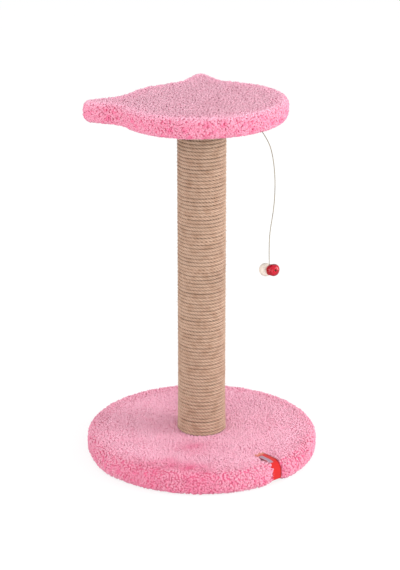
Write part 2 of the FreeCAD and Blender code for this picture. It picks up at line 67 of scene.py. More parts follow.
# camera at the height and angle of a product picture, three quarters from the platform's left cheek
cameraSet = {
    "place": (-1819.5, -1633.2, 1114.9),
    "aim": (-1.7, 1.9, 263.5),
    "lens": 109.63,
    "sensor": 36.0,
    "farthest": 100.0,
}


def setLooking(thing, place, way):
    # put a camera or lamp at a place, looking along a way
    thing.location = place
    thing.rotation_mode = "QUATERNION"
    thing.rotation_quaternion = Vector(way).to_track_quat("-Z", "Y")
    bpy.context.scene.collection.objects.link(thing)


def makeCamera():
    data = bpy.data.cameras.new("camera")
    data.lens = cameraSet["lens"]
    data.sensor_width = cameraSet["sensor"]
    data.clip_end = cameraSet["farthest"]
    camera = bpy.data.objects.new("camera", data)
    place = np.array(cameraSet["place"]) * mm
    setLooking(camera, place, np.array(cameraSet["aim"]) * mm - place)
    bpy.context.scene.camera = camera


makeCamera()
print("camera: set")


# mesh tools

def cornersOf(faces):
    return np.concatenate([part.ravel() for part in faces])


def addPiece(name, points, faces, smooth=True):
    # points in mm; faces is a list of index arrays, each array with one number of corners
    mesh = bpy.data.meshes.new(name)
    corners = cornersOf(faces)
    widths = np.concatenate([np.full(len(part), part.shape[1]) for part in faces])
    mesh.vertices.add(len(points))
    mesh.vertices.foreach_set("co", (np.asarray(points) * mm).astype(np.float32).ravel())
    mesh.loops.add(len(corners))
    mesh.loops.foreach_set("vertex_index", corners.astype(np.int32))
    mesh.polygons.add(len(widths))
    mesh.polygons.foreach_set("loop_start", (np.cumsum(widths) - widths).astype(np.int32))
    mesh.polygons.foreach_set("use_smooth", np.full(len(widths), smooth))
    mesh.update(calc_edges=True)
    mesh.validate()
    piece = bpy.data.objects.new(name, mesh)
    bpy.context.scene.collection.objects.link(piece)
    return piece


def dress(piece, slot, *replaced, body="stand"):
    # finish, slot and body of a piece, and the CAD nodes that it stands for
    piece.data.materials.append(finishes[slot])
    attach(piece, body)
    if replaced:
        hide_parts(*replaced)
    return piece


def gridFaces(rows, cols, wrapRows=False, wrapCols=False, flip=False):
    # quads of a grid numbered row by row
    row = np.arange(rows if wrapRows else rows - 1)[:, None]
    col = np.arange(cols if wrapCols else cols - 1)[None, :]
    nextRow = (row + 1) % rows
    nextCol = (col + 1) % cols
    quads = [row * cols + col, row * cols + nextCol, nextRow * cols + nextCol, nextRow * cols + col]
    quads = np.stack(quads, -1).reshape(-1, 4)
    return quads[:, ::-1] if flip else quads


def fanFaces(ring, pole, flip=False):
    # triangles from a closed ring of points to one pole point
    fan = np.stack([ring, np.roll(ring, -1), np.full(len(ring), pole)], -1)
    return fan[:, ::-1] if flip else fan


def endCaps(rows, cols):
    # one face over each end of a tube
    return [np.arange(cols)[None, ::-1], (rows - 1) * cols + np.arange(cols)[None]]


def stackedPiece(name, rows, poles, flip=False):
    # closed rings one after another, and a pole point inside the first and the last
    cols, last = len(rows[0]), len(rows) - 1
    points = np.concatenate(rows)
    faces = [gridFaces(len(rows), cols, False, True, flip)]
    faces.append(fanFaces(np.arange(cols), len(points), not flip))
    faces.append(fanFaces(last * cols + np.arange(cols), len(points) + 1, flip))
    return addPiece(name, np.concatenate([points, poles]), faces)


def setFloat(piece, name, values):
    layer = piece.data.attributes.new(name, "FLOAT", "POINT")
    layer.data.foreach_set("value", np.asarray(values, np.float32).ravel())


def setMap(piece, name, corners):
    layer = piece.data.uv_layers.new(name=name)
    layer.uv.foreach_set("vector", np.asarray(corners, np.float32).ravel())


def unit(vectors):
    return vectors / np.maximum(np.linalg.norm(vectors, axis=-1, keepdims=True), tiny)


def roundAngles(count):
    return np.arange(count) * 2 * math.pi / count


def passedLengths(steps):
    return np.append(0, np.cumsum(steps))


def closedWays(path):
    # ways ahead along a closed path
    return unit(np.roll(path, -1, 0) - np.roll(path, 1, 0))


def steadyAxis(way):
    # the axis that lies most across a way
    return np.eye(3)[np.argmin(np.abs(way))]


def arcPoints(centre, radii, fromTurn, toTurn, count):
    # arc of an ellipse in a section, as radius and level
    angle = np.radians(np.linspace(fromTurn, toTurn, count))
    return np.stack([centre[0] + radii[0] * np.cos(angle), centre[1] + radii[1] * np.sin(angle)], -1)


def turnedPiece(section, columns):
    # closed section (r, z) turned about Z: (r cos a, r sin a, z)
    angle = roundAngles(columns)
    points = np.stack([
        section[:, :1] * np.cos(angle),
        section[:, :1] * np.sin(angle),
        np.repeat(section[:, 1:], columns, 1),
    ], -1)
    faces = gridFaces(len(section), columns, True, True, flip=True)
    return points.reshape(-1, 3), faces


def tubePoints(path, out, side, radius, ring):
    # p + r (cos(b) out + sin(b) side) at each angle b of the ring
    rays = out[:, None] * np.cos(ring)[:, None] + side[:, None] * np.sin(ring)[:, None]
    return path[:, None] + radius * rays


rippleGain = 1.4  # brings the mean of a few sines to about -1 to 1


def ripple(points, waves, seed):
    # smooth field of sines with random ways and phases
    rng = np.random.default_rng(seed)
    ways = unit(rng.normal(size=(len(waves), points.shape[-1])))
    phase = rng.uniform(0, 2 * math.pi, len(waves))
    turns = points @ ways.T * (2 * math.pi / np.array(waves)) + phase
    return np.sin(turns).mean(-1) * rippleGain


# shader tools

def tint(red, green, blue):
    # screen colour 0 to 255, as linear light
    share = np.array([red, green, blue]) / 255
    light = np.where(share <= 0.04045, share / 12.92, ((share + 0.055) / 1.055) ** 2.4)
    return (*light.tolist(), 1.0)


class Nodes:
    # adds nodes to one tree, with constants set on the sockets themselves
    def __init__(self, tree):
        self.tree = tree

    def feed(self, node, key, value):
        if isinstance(value, bpy.types.NodeSocket):
            self.tree.links.new(value, node.inputs[key])
        else:
            node.inputs[key].default_value = value

    def put(self, kind, inputs=None, **settings):
        node = self.tree.nodes.new("ShaderNode" + kind)
        for key, value in settings.items():
            setattr(node, key, value)
        for key, value in (inputs or {}).items():
            self.feed(node, key, value)
        return node.outputs

    def calc(self, operation, first, second):
        return self.put("Math", {0: first, 1: second}, operation=operation)[0]

    def times(self, first, second):
        return self.calc("MULTIPLY", first, second)

    def mix(self, share, first, second):
        return self.put("Mix", {0: share, 6: first, 7: second}, data_type="RGBA")[2]

    def ramp(self, value, low, high):
        return self.put("MapRange", {0: value, 1: low, 2: high}, clamp=True)[0]

    def attribute(self, name):
        return self.put("Attribute", attribute_name=name)["Fac"]

    def place(self):
        return self.put("TexCoord")["Object"]

    def noise(self, place, scale, detail, distortion=0.0):
        inputs = {"Vector": place, "Scale": scale, "Detail": detail, "Distortion": distortion}
        return self.put("TexNoise", inputs)[0]

    def group(self, tree, **inputs):
        return self.put("Group", inputs, node_tree=tree)


class Finish(Nodes):
    # a material; shine holds what is the same all over its surface
    def __init__(self, name, shine):
        self.material = bpy.data.materials.new(name)
        self.material.use_nodes = True
        super().__init__(self.material.node_tree)
        self.shader = self.tree.nodes["Principled BSDF"]
        for key, value in shine.items():
            self.feed(self.shader, key, value)

    def done(self, colour, height, relief, gloss=None):
        # relief is strength and depth in mm, gloss the roughness where handled least and most
        strength, depth = relief
        bump = self.put("Bump", {"Height": height, "Strength": strength, "Distance": depth * mm})
        self.feed(self.shader, "Base Color", colour)
        self.feed(self.shader, "Normal", bump[0])
        if gloss:
            smudge = self.group(handlingSmudge, Vector=self.place(), Low=gloss[0], High=gloss[1])
            self.feed(self.shader, "Roughness", smudge["Roughness"])
        return self.material


def newGroup(name, inputs, outputs):
    # shared effect: all sockets are numbers but the one named Vector
    tree = bpy.data.node_groups.new(name, "ShaderNodeTree")
    for way, labels in (("INPUT", inputs), ("OUTPUT", outputs)):
        for label in labels:
            kind = "NodeSocketVector" if label == "Vector" else "NodeSocketFloat"
            tree.interface.new_socket(name=label, in_out=way, socket_type=kind)
    return Nodes(tree), tree.nodes.new("NodeGroupInput").outputs, tree.nodes.new("NodeGroupOutput")


groupSet = {
    "fine": (1.0, 3.0),         # scale and detail of each noise
    "broad": (0.21, 1.0),
    "smudge": (120.0, 3.0),
    "fineShare": 0.65,
    "broadShare": 0.35,
    "toneBand": (0.3, 0.7),     # what becomes 0 and 1
    "edgeBand": (0.0, 0.12),
    "smudgeBand": (0.35, 0.68),
}


def fibreGroup():
    # fine streaks along the first axis of a vector: tone 0 to 1 and height
    nodes, given, result = newGroup("fibreStreaks", ("Vector", "Streak", "Cross"), ("Tone", "Height"))
    scale = nodes.put("CombineXYZ", {0: given["Streak"], 1: given["Cross"], 2: given["Cross"]})[0]
    place = nodes.put("VectorMath", {0: given["Vector"], 1: scale}, operation="MULTIPLY")[0]
    fine = nodes.noise(place, *groupSet["fine"])
    broad = nodes.noise(place, *groupSet["broad"])
    parts = nodes.times(fine, groupSet["fineShare"]), nodes.times(broad, groupSet["broadShare"])
    nodes.feed(result, "Tone", nodes.ramp(nodes.calc("ADD", *parts), *groupSet["toneBand"]))
    nodes.feed(result, "Height", fine)
    return nodes.tree


def speckGroup():
    # small cells with a tone each, and their edges
    nodes, given, result = newGroup("cellSpecks", ("Vector", "Size"), ("Tone", "Edge"))
    inputs = {"Vector": given["Vector"], "Scale": given["Size"]}
    cells = nodes.put("TexVoronoi", inputs)
    edges = nodes.put("TexVoronoi", inputs, feature="DISTANCE_TO_EDGE")
    nodes.feed(result, "Tone", nodes.put("SeparateColor", {0: cells["Color"]})[0])
    nodes.feed(result, "Edge", nodes.ramp(edges[0], *groupSet["edgeBand"]))
    return nodes.tree


def smudgeGroup():
    # uneven gloss from handling
    nodes, given, result = newGroup("handlingSmudge", ("Vector", "Low", "High"), ("Roughness",))
    share = nodes.ramp(nodes.noise(given["Vector"], *groupSet["smudge"]), *groupSet["smudgeBand"])
    nodes.feed(result, "Roughness", nodes.put("Mix", {0: share, 2: given["Low"], 3: given["High"]})[0])
    return nodes.tree


fibreStreaks = fibreGroup()
cellSpecks = speckGroup()
handlingSmudge = smudgeGroup()


plushLook = {
    "rimRoot": tint(229, 114, 150),
    "rimTip": tint(228, 149, 173),
    # top tones paint sheen on the tops, grey tones paint greyer sheen and grazing shade on the platform's top
    "topSheenRoot": tint(234, 157, 183),
    "topSheenTip": tint(244, 183, 204),
    "greySheenShadeRoot": tint(212, 150, 174),
    "greySheenShadeTip": tint(234, 180, 197),
    "pale": tint(243, 193, 208),
    # deep paints shade on brushed patches and rim clumps
    "deep": tint(227, 109, 147),
    "paleShare": 0.4,
    "tipFrom": 0.75,            # how far up a lock its tip's colour is full
    "grain": 900.0,
    "grainShade": (0.16, 0.9),
    "relief": (0.5, 0.4),
    "shine": {"Roughness": 0.92, "Specular IOR Level": 0.15, "Sheen Weight": 0.2, "Sheen Roughness": 0.45,
              "Sheen Tint": (1.0, 0.82, 0.88, 1.0)},
}


def plushMaterial(name, look):
    # locks run from a deeper root to a paler tip, painted shade down in the pile and painted sheen at the
    # tips, each with its own tone, over brushed patches that take painted shade;
    # a share is 0 on a rim, 0.5 on the base's top and 1 on the platform's, and paints sheen on the tops, with
    # greyer painted sheen and shade on the platform's top
    finish = Finish(name, look["shine"])
    rise, tone, nap, upward = map(finish.attribute, ("lockRise", "lockTone", "napShade", "paintedSheen"))
    top, grey = finish.ramp(upward, 0.0, 0.5), finish.ramp(upward, 0.5, 1.0)
    root = finish.mix(top, look["rimRoot"], look["topSheenRoot"])
    root = finish.mix(grey, root, look["greySheenShadeRoot"])
    root = finish.mix(nap, root, look["rimRoot"])
    tip = finish.mix(top, look["rimTip"], look["topSheenTip"])
    tip = finish.mix(grey, tip, look["greySheenShadeTip"])
    tip = finish.mix(finish.times(tone, look["paleShare"]), tip, look["pale"])
    tip = finish.mix(nap, tip, look["deep"])
    colour = finish.mix(finish.ramp(rise, 0.0, look["tipFrom"]), root, tip)
    streaks = finish.group(fibreStreaks, Vector=finish.place(), Streak=look["grain"], Cross=look["grain"])
    swing, least = look["grainShade"]
    shade = finish.calc("ADD", finish.times(streaks["Tone"], swing), least)
    shaded = finish.put("VectorMath", {0: colour, "Scale": shade}, operation="SCALE")
    return finish.done(shaded[0], streaks["Height"], look["relief"])


juteSet = {
    "batch": (90.0, 2.0),       # scale and detail of darker stretches, and what becomes 0 and 1
    "batchBand": (0.42, 0.75),
    "fleck": (310.0, 1.0),
    "fleckBand": (0.7, 0.76),
    "patch": (55.0, 2.0),
    "patchBand": (0.35, 0.7),
    "grooveShadeBand": (0.5, 0.0),
    "seamBand": (0.8, 1.0),
    "seamShadeShare": 0.1,
    "relief": (0.4, 0.3),
}

ropeLook = {
    "light": tint(201, 172, 150),
    "middle": tint(187, 154, 132),
    "dark": tint(171, 136, 113),
    # the groove tone is painted shade in grooves and seams, and the colour of the dark flecks
    "grooveShadeAndFleck": tint(145, 111, 90),
    "strandShade": 0.75,
    "streak": 1.6,
    "cross": 14.0,
    "shine": {"Roughness": 0.9, "Specular IOR Level": 0.2, "Sheen Weight": 0.15},
}

twineLook = {
    "light": tint(166, 150, 114),
    "middle": tint(140, 122, 86),
    "dark": tint(110, 91, 62),
    # the groove tone is painted shade in grooves and seams, and the colour of the dark flecks
    "grooveShadeAndFleck": tint(76, 61, 39),
    "strandShade": 1.0,
    "streak": 2.5,
    "cross": 6.0,
    "shine": {"Roughness": 0.85, "Specular IOR Level": 0.2, "Sheen Weight": 0.1},
}


def juteMaterial(name, look):
    # fibres along each strand, with painted shade between strands and where loops meet, and a few dark flecks
    finish = Finish(name, look["shine"])
    lay = finish.put("UVMap", uv_map="strandLay")[0]
    place = finish.place()
    batch, fleck, patch = (finish.ramp(finish.noise(place, *juteSet[kind]), *juteSet[kind + "Band"])
                           for kind in ("batch", "fleck", "patch"))
    fibres = finish.group(fibreStreaks, Vector=lay, Streak=look["streak"], Cross=look["cross"])
    colour = finish.mix(fibres["Tone"], look["middle"], look["light"])
    colour = finish.mix(batch, colour, look["dark"])
    colour = finish.mix(fleck, colour, look["grooveShadeAndFleck"])
    # painted shade in the grooves between strands
    shadowed = finish.ramp(finish.attribute("strandCrest"), *juteSet["grooveShadeBand"])
    colour = finish.mix(finish.times(shadowed, look["strandShade"]), colour, look["grooveShadeAndFleck"])
    # painted shade in patches where a loop meets the next
    seam = finish.ramp(finish.attribute("loopSeam"), *juteSet["seamBand"])
    seam = finish.times(seam, finish.times(patch, juteSet["seamShadeShare"]))
    colour = finish.mix(seam, colour, look["grooveShadeAndFleck"])
    return finish.done(colour, fibres["Height"], juteSet["relief"])


ribbonLook = {
    "red": tint(210, 36, 32),
    "deep": tint(150, 14, 24),
    "thread": tint(150, 141, 160),
    "frayed": tint(206, 150, 130),
    "ribs": {"Scale": 0.5, "Distortion": 0.6, "Detail": 1.0},
    "ribShare": 0.35,
    "weave": (3.0, 1.2),
    "weaveShare": 0.22,
    "edgeShadow": (6.3, 7.6),     # across the ribbon, where painted shadow darkens one edge
    "stripe": [(0, -8.4, -8.0), (0, 0.2, -0.4), (1, 11.5, 12.5), (1, 37.5, 36.5)],  # fades: axis, from, to
    "stripeWeave": (-0.3, 0.6),
    "stripeShare": 0.95,
    "fray": (11.5, 6.5),        # along it, where its end frays
    "frayWeave": (0.1, 0.6),
    "gloss": (0.6, 0.75),
    "relief": (0.35, 0.2),
    "shine": {"Specular IOR Level": 0.15, "Sheen Weight": 0.1},
}


def ribbonMaterial(name, look):
    # woven ribs across the ribbon, painted shadow along one edge, a plain grey stripe along the other edge, a
    # frayed end
    finish = Finish(name, look["shine"])
    lay = finish.put("UVMap", uv_map="ribbonLay")[0]
    parts = finish.put("SeparateXYZ", {0: lay})
    ribs = finish.put("TexWave", {"Vector": lay, **look["ribs"]}, bands_direction="Y")["Fac"]
    weave = finish.group(fibreStreaks, Vector=lay, Streak=look["weave"][0], Cross=look["weave"][1])["Tone"]
    colour = finish.mix(finish.times(ribs, look["ribShare"]), look["red"], look["deep"])
    colour = finish.mix(finish.times(weave, look["weaveShare"]), colour, look["deep"])
    colour = finish.mix(finish.ramp(parts[0], *look["edgeShadow"]), colour, look["deep"])
    stripe = finish.times(finish.ramp(weave, *look["stripeWeave"]), look["stripeShare"])
    for axis, low, high in look["stripe"]:
        stripe = finish.times(stripe, finish.ramp(parts[axis], low, high))
    colour = finish.mix(stripe, colour, look["thread"])
    frayed = finish.times(finish.ramp(parts[1], *look["fray"]), finish.ramp(weave, *look["frayWeave"]))
    colour = finish.mix(frayed, colour, look["frayed"])
    return finish.done(colour, ribs, look["relief"], look["gloss"])


beadLook = {
    "flow": (95.0, 0.0, 0.8),
    "flowBand": (0.35, 0.7),
    "relief": (0.06, 0.3),
}

redLook = {
    "tones": (tint(198, 8, 40), tint(174, 0, 30)),
    # rim: painted shade round the bead's edge
    "rim": tint(92, 0, 16),
    "gloss": (0.14, 0.26),
    "shine": {"Transmission Weight": 0.25, "IOR": 1.45, "Specular IOR Level": 0.35},
}

creamLook = {
    "tones": (tint(224, 214, 202), tint(216, 206, 192)),
    # rim: painted shade round the bead's edge
    "rim": tint(202, 194, 184),
    "gloss": (0.45, 0.55),
    "shine": {"Specular IOR Level": 0.3},
}


def beadMaterial(name, look):
    # moulded plastic with a faint flow of tone, painted shade round its edge, and handled gloss
    finish = Finish(name, look["shine"])
    flow = finish.noise(finish.place(), *beadLook["flow"])
    colour = finish.mix(finish.ramp(flow, *beadLook["flowBand"]), *look["tones"])
    colour = finish.mix(finish.attribute("beadEdgeShade"), colour, look["rim"])
    return finish.done(colour, flow, beadLook["relief"], look["gloss"])


# plain finishes: two tones mixed by one source, and tones laid over them as (source, from, to, share, tone)
steelLook = {                   # zinc plate with spangle and fine drawn lines
    "cells": 700.0,
    "fibres": (500.0, 6000.0),
    "tones": ("cellTone", tint(168, 170, 174), tint(204, 206, 208)),
    "relief": ("fibreHeight", 0.15, 0.05),
    "gloss": (0.28, 0.48),
    "shine": {"Metallic": 1.0},
}

liningLook = {                  # black bonded cloth: pressed dots and short stray fibres
    "cells": 750.0,
    "fibres": (400.0, 1500.0),
    "tones": ("fibreTone", tint(30, 30, 32), tint(52, 52, 55)),
    "over": [("cellEdge", 1.0, 0.0, 1.0, tint(22, 22, 24))],
    "relief": ("cellEdge", 0.5, 0.3),
    "shine": {"Roughness": 0.88, "Specular IOR Level": 0.25},
}

boardLook = {                   # pressed wood chips of several tones with dark gaps
    "stretch": (1.0, 1.0, 2.4),
    "cells": 260.0,
    "fibres": (300.0, 1800.0),
    "tones": ("cellTone", tint(170, 128, 84), tint(216, 182, 136)),
    "over": [("fibreTone", 0.0, 1.0, 0.3, tint(140, 100, 64)),
             ("cellEdge", 1.0, 0.0, 1.0, tint(112, 78, 50))],
    "relief": ("cellEdge", 0.4, 0.3),
    "shine": {"Roughness": 0.8},
}

plugLook = {                    # softwood end grain: rings about the post's axis and pores
    "wave": {"Scale": 90.0, "Distortion": 2.5, "Detail": 2.0},
    "waveKind": {"wave_type": "RINGS", "rings_direction": "Z"},
    "fibres": (2600.0, 2600.0),
    "tones": ("wave", tint(224, 188, 138), tint(192, 146, 96)),
    "over": [("fibreTone", 0.0, 1.0, 0.2, tint(150, 106, 66))],
    "relief": ("wave", 0.2, 0.2),
    "shine": {"Roughness": 0.72},
}

tubeLook = {                    # brown card in slanting wraps
    "wave": {"Scale": 4.0, "Distortion": 0.3},
    "waveKind": {"bands_direction": "Z"},
    "fibres": (200.0, 900.0),
    "tones": ("fibreTone", tint(158, 122, 86), tint(186, 150, 110)),
    "over": [("wave", 0.96, 1.0, 1.0, tint(110, 80, 54))],
    "relief": ("fibreHeight", 0.25, 0.2),
    "shine": {"Roughness": 0.85},
}

foamLook = {                    # cream foam with open pores
    "cells": 900.0,
    "tones": ("cellTone", tint(236, 228, 198), tint(248, 242, 220)),
    "over": [("cellEdge", 1.0, 0.0, 1.0, tint(206, 194, 160))],
    "relief": ("cellEdge", 0.6, 0.4),
    "shine": {"Roughness": 0.95, "Specular IOR Level": 0.1},
}


def plainMaterial(name, look):
    finish = Finish(name, look["shine"])
    place = finish.place()
    if "stretch" in look:
        place = finish.put("Mapping", {0: place, 3: look["stretch"]})[0]
    source = {}
    if "cells" in look:
        cells = finish.group(cellSpecks, Vector=place, Size=look["cells"])
        source.update(cellTone=cells["Tone"], cellEdge=cells["Edge"])
    if "fibres" in look:
        fibres = finish.group(fibreStreaks, Vector=place, Streak=look["fibres"][0], Cross=look["fibres"][1])
        source.update(fibreTone=fibres["Tone"], fibreHeight=fibres["Height"])
    if "wave" in look:
        source["wave"] = finish.put("TexWave", {"Vector": place, **look["wave"]}, **look["waveKind"])["Fac"]
    first, *tones = look["tones"]
    colour = finish.mix(source[first], *tones)
    for kind, low, high, share, tone in look.get("over", ()):
        colour = finish.mix(finish.times(finish.ramp(source[kind], low, high), share), colour, tone)
    kind, *relief = look["relief"]
    return finish.done(colour, source[kind], relief, look.get("gloss"))


finishes = {
    "plush": plushMaterial("pinkPlush", plushLook),
    "rope": juteMaterial("juteRope", ropeLook),
    "twine": juteMaterial("juteTwine", twineLook),
    "ribbon": ribbonMaterial("redRibbon", ribbonLook),
    "bead_red": beadMaterial("redBead", redLook),
    "bead_white": beadMaterial("creamBead", creamLook),
    "steel": plainMaterial("zincSteel", steelLook),
    "lining": plainMaterial("blackLining", liningLook),
    "board": plainMaterial("chipBoard", boardLook),
    "plug": plainMaterial("softwood", plugLook),
    "tube": plainMaterial("brownCard", tubeLook),
    "foam": plainMaterial("creamFoam", foamLook),
}
print("finishes:", len(finishes))


# hanging toy: the string's route is the one that the model is built on
toySet = {
    "knot": (23.0, -94.0, 510.6),
    "knotRadius": 1.5,
    "knotSink": 0.5,
    "route": [(0.0, 0.0, 0.0), (5.6, -6.2, -12.8), (9.4, -10.5, -27.5), (11.9, -13.3, -48.1),
              (13.3, -14.8, -71.8), (13.2, -14.6, -98.6), (11.7, -13.0, -122.7), (8.8, -9.8, -149.9),
              (8.3, -9.2, -178.5), (8.9, -9.9, -206.4)],
    "splineSteps": 48,
    "splineOrder": 3,
    "length": 209.7,
    "twine": 1.3,
    "plyShare": 0.56,       # a ply's radius, of the twine's radius
    "plySides": 7,
    "twist": 3.4,           # length of one turn of the plies
    "tieSink": 1.4,         # from the string's end to the middle of the tie
    "tieTurn": -109.0,
    "tieTilt": 14.5,
    "tieReach": 17.9,       # from its middle to its end knots, which are drawn into the beads
    "tieSteps": 90,
    "loopRadius": 1.55,
    "loopLevel": 514.6,
    "loopSteps": 60,
    "topKnot": (1.9, 0.55),     # reach of each knot and radius of its twine
    "endKnot": (1.3, 0.42),
    "hitch": (2.3, 0.68),
}

knotSet = {
    "count": 72,
    "sides": 8,
    "rise": 1.6,
    "reach": 3.2,           # of the trefoil before it is drawn up to size
    "crest": (0.6, 0.4),
}


def splinePoints(route):
    # points read from a NURBS spline with the route as its control points
    curve = bpy.data.curves.new("route", "CURVE")
    curve.dimensions = "3D"
    curve.resolution_u = toySet["splineSteps"]
    spline = curve.splines.new("NURBS")
    spline.points.add(len(route) - 1)
    spline.points.foreach_set("co", np.column_stack([route * mm, np.ones(len(route))]).ravel())
    spline.order_u = toySet["splineOrder"]
    spline.use_endpoint_u = True
    guide = bpy.data.objects.new("route", curve)
    bpy.context.scene.collection.objects.link(guide)
    bpy.context.view_layer.update()
    mesh = bpy.data.meshes.new_from_object(guide.evaluated_get(bpy.context.evaluated_depsgraph_get()))
    points = np.empty(len(mesh.vertices) * 3, np.float32)
    mesh.vertices.foreach_get("co", points)
    bpy.data.objects.remove(guide)
    bpy.data.meshes.remove(mesh)
    return points.reshape(-1, 3).astype(float) / mm


def joinParts(*parts):
    # several sets of points, faces, crests and maps as one
    shift = 0
    points, faces, crest, maps = [], [], [], []
    for somePoints, someFaces, someCrest, someMaps in parts:
        points.append(somePoints)
        faces += [part + shift for part in someFaces]
        crest.append(someCrest)
        maps.append(someMaps)
        shift += len(somePoints)
    return np.concatenate(points), faces, np.concatenate(crest), np.concatenate(maps)


def twinePoints(path, closed=False):
    # two plies round the path: ply k at q(s) = p(s) + o (cos(w s + k pi) u + sin(w s + k pi) v),
    # and each ply a tube about its own line
    radius = toySet["twine"] / 2
    ply = radius * toySet["plyShare"]
    along = passedLengths(np.linalg.norm(np.diff(path, axis=0), axis=1))
    ahead = closedWays(path) if closed else unit(np.gradient(path, axis=0))
    across = unit(np.cross(ahead, steadyAxis(ahead.mean(0))))
    side = np.cross(ahead, across)
    turns = max(1, round(along[-1] / toySet["twist"]))
    phase = along / along[-1] * turns * 2 * math.pi
    rows, sides = len(path), toySet["plySides"]
    ring = roundAngles(sides)
    plies = []
    for number in range(2):
        angle = (phase + number * math.pi)[:, None]
        out = across * np.cos(angle) + side * np.sin(angle)
        points = tubePoints(path + out * (radius - ply), out, np.cross(ahead, out), ply, ring)
        faces = [gridFaces(rows, sides, closed, True)]
        if not closed:
            faces += endCaps(rows, sides)
        crest = np.tile(0.5 + 0.5 * np.cos(ring), rows)
        maps = np.stack([np.repeat(along, sides), np.tile(ring, rows)], -1)
        plies.append((points.reshape(-1, 3), faces, crest, maps))
    return joinParts(*plies)


def knotPoints(centre, axis, size, tube, shade=1.0):
    # trefoil: x = sin a + 2 sin 2a, y = cos a - 2 cos 2a, z = -rise sin 3a, drawn up to size
    count, sides = knotSet["count"], knotSet["sides"]
    angle, ring = roundAngles(count), roundAngles(sides)
    curve = np.stack([np.sin(angle) + 2 * np.sin(2 * angle), np.cos(angle) - 2 * np.cos(2 * angle),
                      -knotSet["rise"] * np.sin(3 * angle)], -1) * (size - tube) / knotSet["reach"]
    axis = unit(np.array(axis, float))
    across = unit(np.cross(axis, steadyAxis(axis)))
    curve = curve @ np.stack([across, np.cross(axis, across), axis])
    path = curve + np.array(centre)
    ahead = closedWays(path)
    out = unit(curve - ahead * (curve * ahead).sum(-1, keepdims=True))
    points = tubePoints(path, out, np.cross(ahead, out), tube, ring)
    middle, swing = knotSet["crest"]
    crest = np.tile(middle + swing * np.cos(ring), count) * shade
    maps = np.stack([np.repeat(angle * size, sides), np.tile(ring, count)], -1)
    return points.reshape(-1, 3), [gridFaces(count, sides, True, True)], crest, maps


def twinePiece(name, made, node, body="toy_line"):
    points, faces, crest, maps = made
    piece = addPiece(name, points, faces)
    setFloat(piece, "strandCrest", crest)
    setMap(piece, "strandLay", maps[cornersOf(faces)])
    return dress(piece, "twine", node, body=body)


def tieWay():
    turn, tilt = math.radians(toySet["tieTurn"]), math.radians(toySet["tieTilt"])
    return np.array([math.cos(turn) * math.cos(tilt), math.sin(turn) * math.cos(tilt), math.sin(tilt)])


def tieMiddle():
    end = np.array(toySet["knot"]) + toySet["route"][-1]
    return end - np.array([0, 0, toySet["tieSink"]])


def hangToy():
    knot = np.array(toySet["knot"])
    route = knot + np.array(toySet["route"])
    route[0] += unit(route[1] - route[0]) * (toySet["knotRadius"] - toySet["knotSink"])
    path = splinePoints(route)
    string = twinePiece("toyString", twinePoints(path), "toy_string")
    top = twinePiece("toyTopKnot", knotPoints(knot, (0, 0, 1), *toySet["topKnot"]), "toy_top_knot")
    angle = roundAngles(toySet["loopSteps"])
    ring = np.stack([np.zeros_like(angle), np.cos(angle), np.sin(angle)], -1) * toySet["loopRadius"]
    ring += (knot[0], knot[1], toySet["loopLevel"])
    twinePiece("toyLoop", twinePoints(ring, True), "toy_loop", "toy_loop")
    middle, way, reach = tieMiddle(), tieWay(), toySet["tieReach"]
    tieLine = middle + np.linspace(-reach, reach, toySet["tieSteps"])[:, None] * way
    # end knots take painted shade all over, where they sit in the beads' bores
    ends = [knotPoints(middle + way * reach * end, way, *toySet["endKnot"], shade=0.0) for end in (-1, 1)]
    tie = twinePiece("toyTie", joinParts(twinePoints(tieLine), *ends), "toy_tie")
    hitch = twinePiece("toyTieKnot", knotPoints(middle, way, *toySet["hitch"]), "toy_tie_knot")
    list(hangBeads(middle, way))


beadSet = {
    "radius": 9.8,
    "length": 16.0,
    "edge": 7.0,
    "edgeSteps": 22,
    "bore": 1.0,
    "lip": 1.6,             # rounding of the bore's mouth
    "lipSteps": 6,
    "spacing": 4.6,
    "columns": 96,
    "beads": [("toyBeadRed", 1, "bead_red", "red_bead", "toy_bead_red"),
              ("toyBeadCream", -1, "bead_white", "white_bead", "toy_bead_white")],
    "cast": [(0, 9.7), (35, 10.2), (55, 8.4), (90, 8.9), (129, 9.2), (166, 9.2), (180, 9.7), (215, 10.2),
             (270, 8.8), (300, 9.6), (330, 9.7), (360, 9.7)],  # uneven outline of the red bead, by angle
    "castStep": 5,
    "castPasses": 3,        # times that the outline is smoothed
    "castFrom": 4,          # radius where it starts to show, and over what reach
    "castOver": 3,
    "edgeRise": 4,          # how steeply the deeper edge sets in
}


def beadSection():
    # barrel with rounded edges and a bore, as radius and place along the bore
    half, edge, lip = beadSet["length"] / 2, beadSet["edge"], beadSet["lip"]
    outside = arcPoints((beadSet["radius"] - edge, half - edge), (edge, edge), 90, 0, beadSet["edgeSteps"])
    mouth = arcPoints((beadSet["bore"] + lip, half - lip), (lip, lip), 180, 90, beadSet["lipSteps"])
    upper = np.concatenate([mouth, outside])
    return np.concatenate([upper, upper[::-1] * (1, -1)])


def castShare(points):
    # r(a) of the red bead's outline as a share of the plain radius, smoothed; the bore stays round
    angle = np.degrees(np.arctan2(points[:, 1], points[:, 0])) % 360
    even = np.arange(0, 360, beadSet["castStep"])
    radius = np.interp(even, *np.array(beadSet["cast"]).T)
    for _ in range(beadSet["castPasses"]):
        radius = (np.roll(radius, 1) + 2 * radius + np.roll(radius, -1)) / 4
    share = np.interp(angle, even, radius, period=360) / beadSet["radius"]
    far = np.hypot(*points[:, :2].T)
    return 1 + (share - 1) * np.clip((far - beadSet["castFrom"]) / beadSet["castOver"], 0, 1)


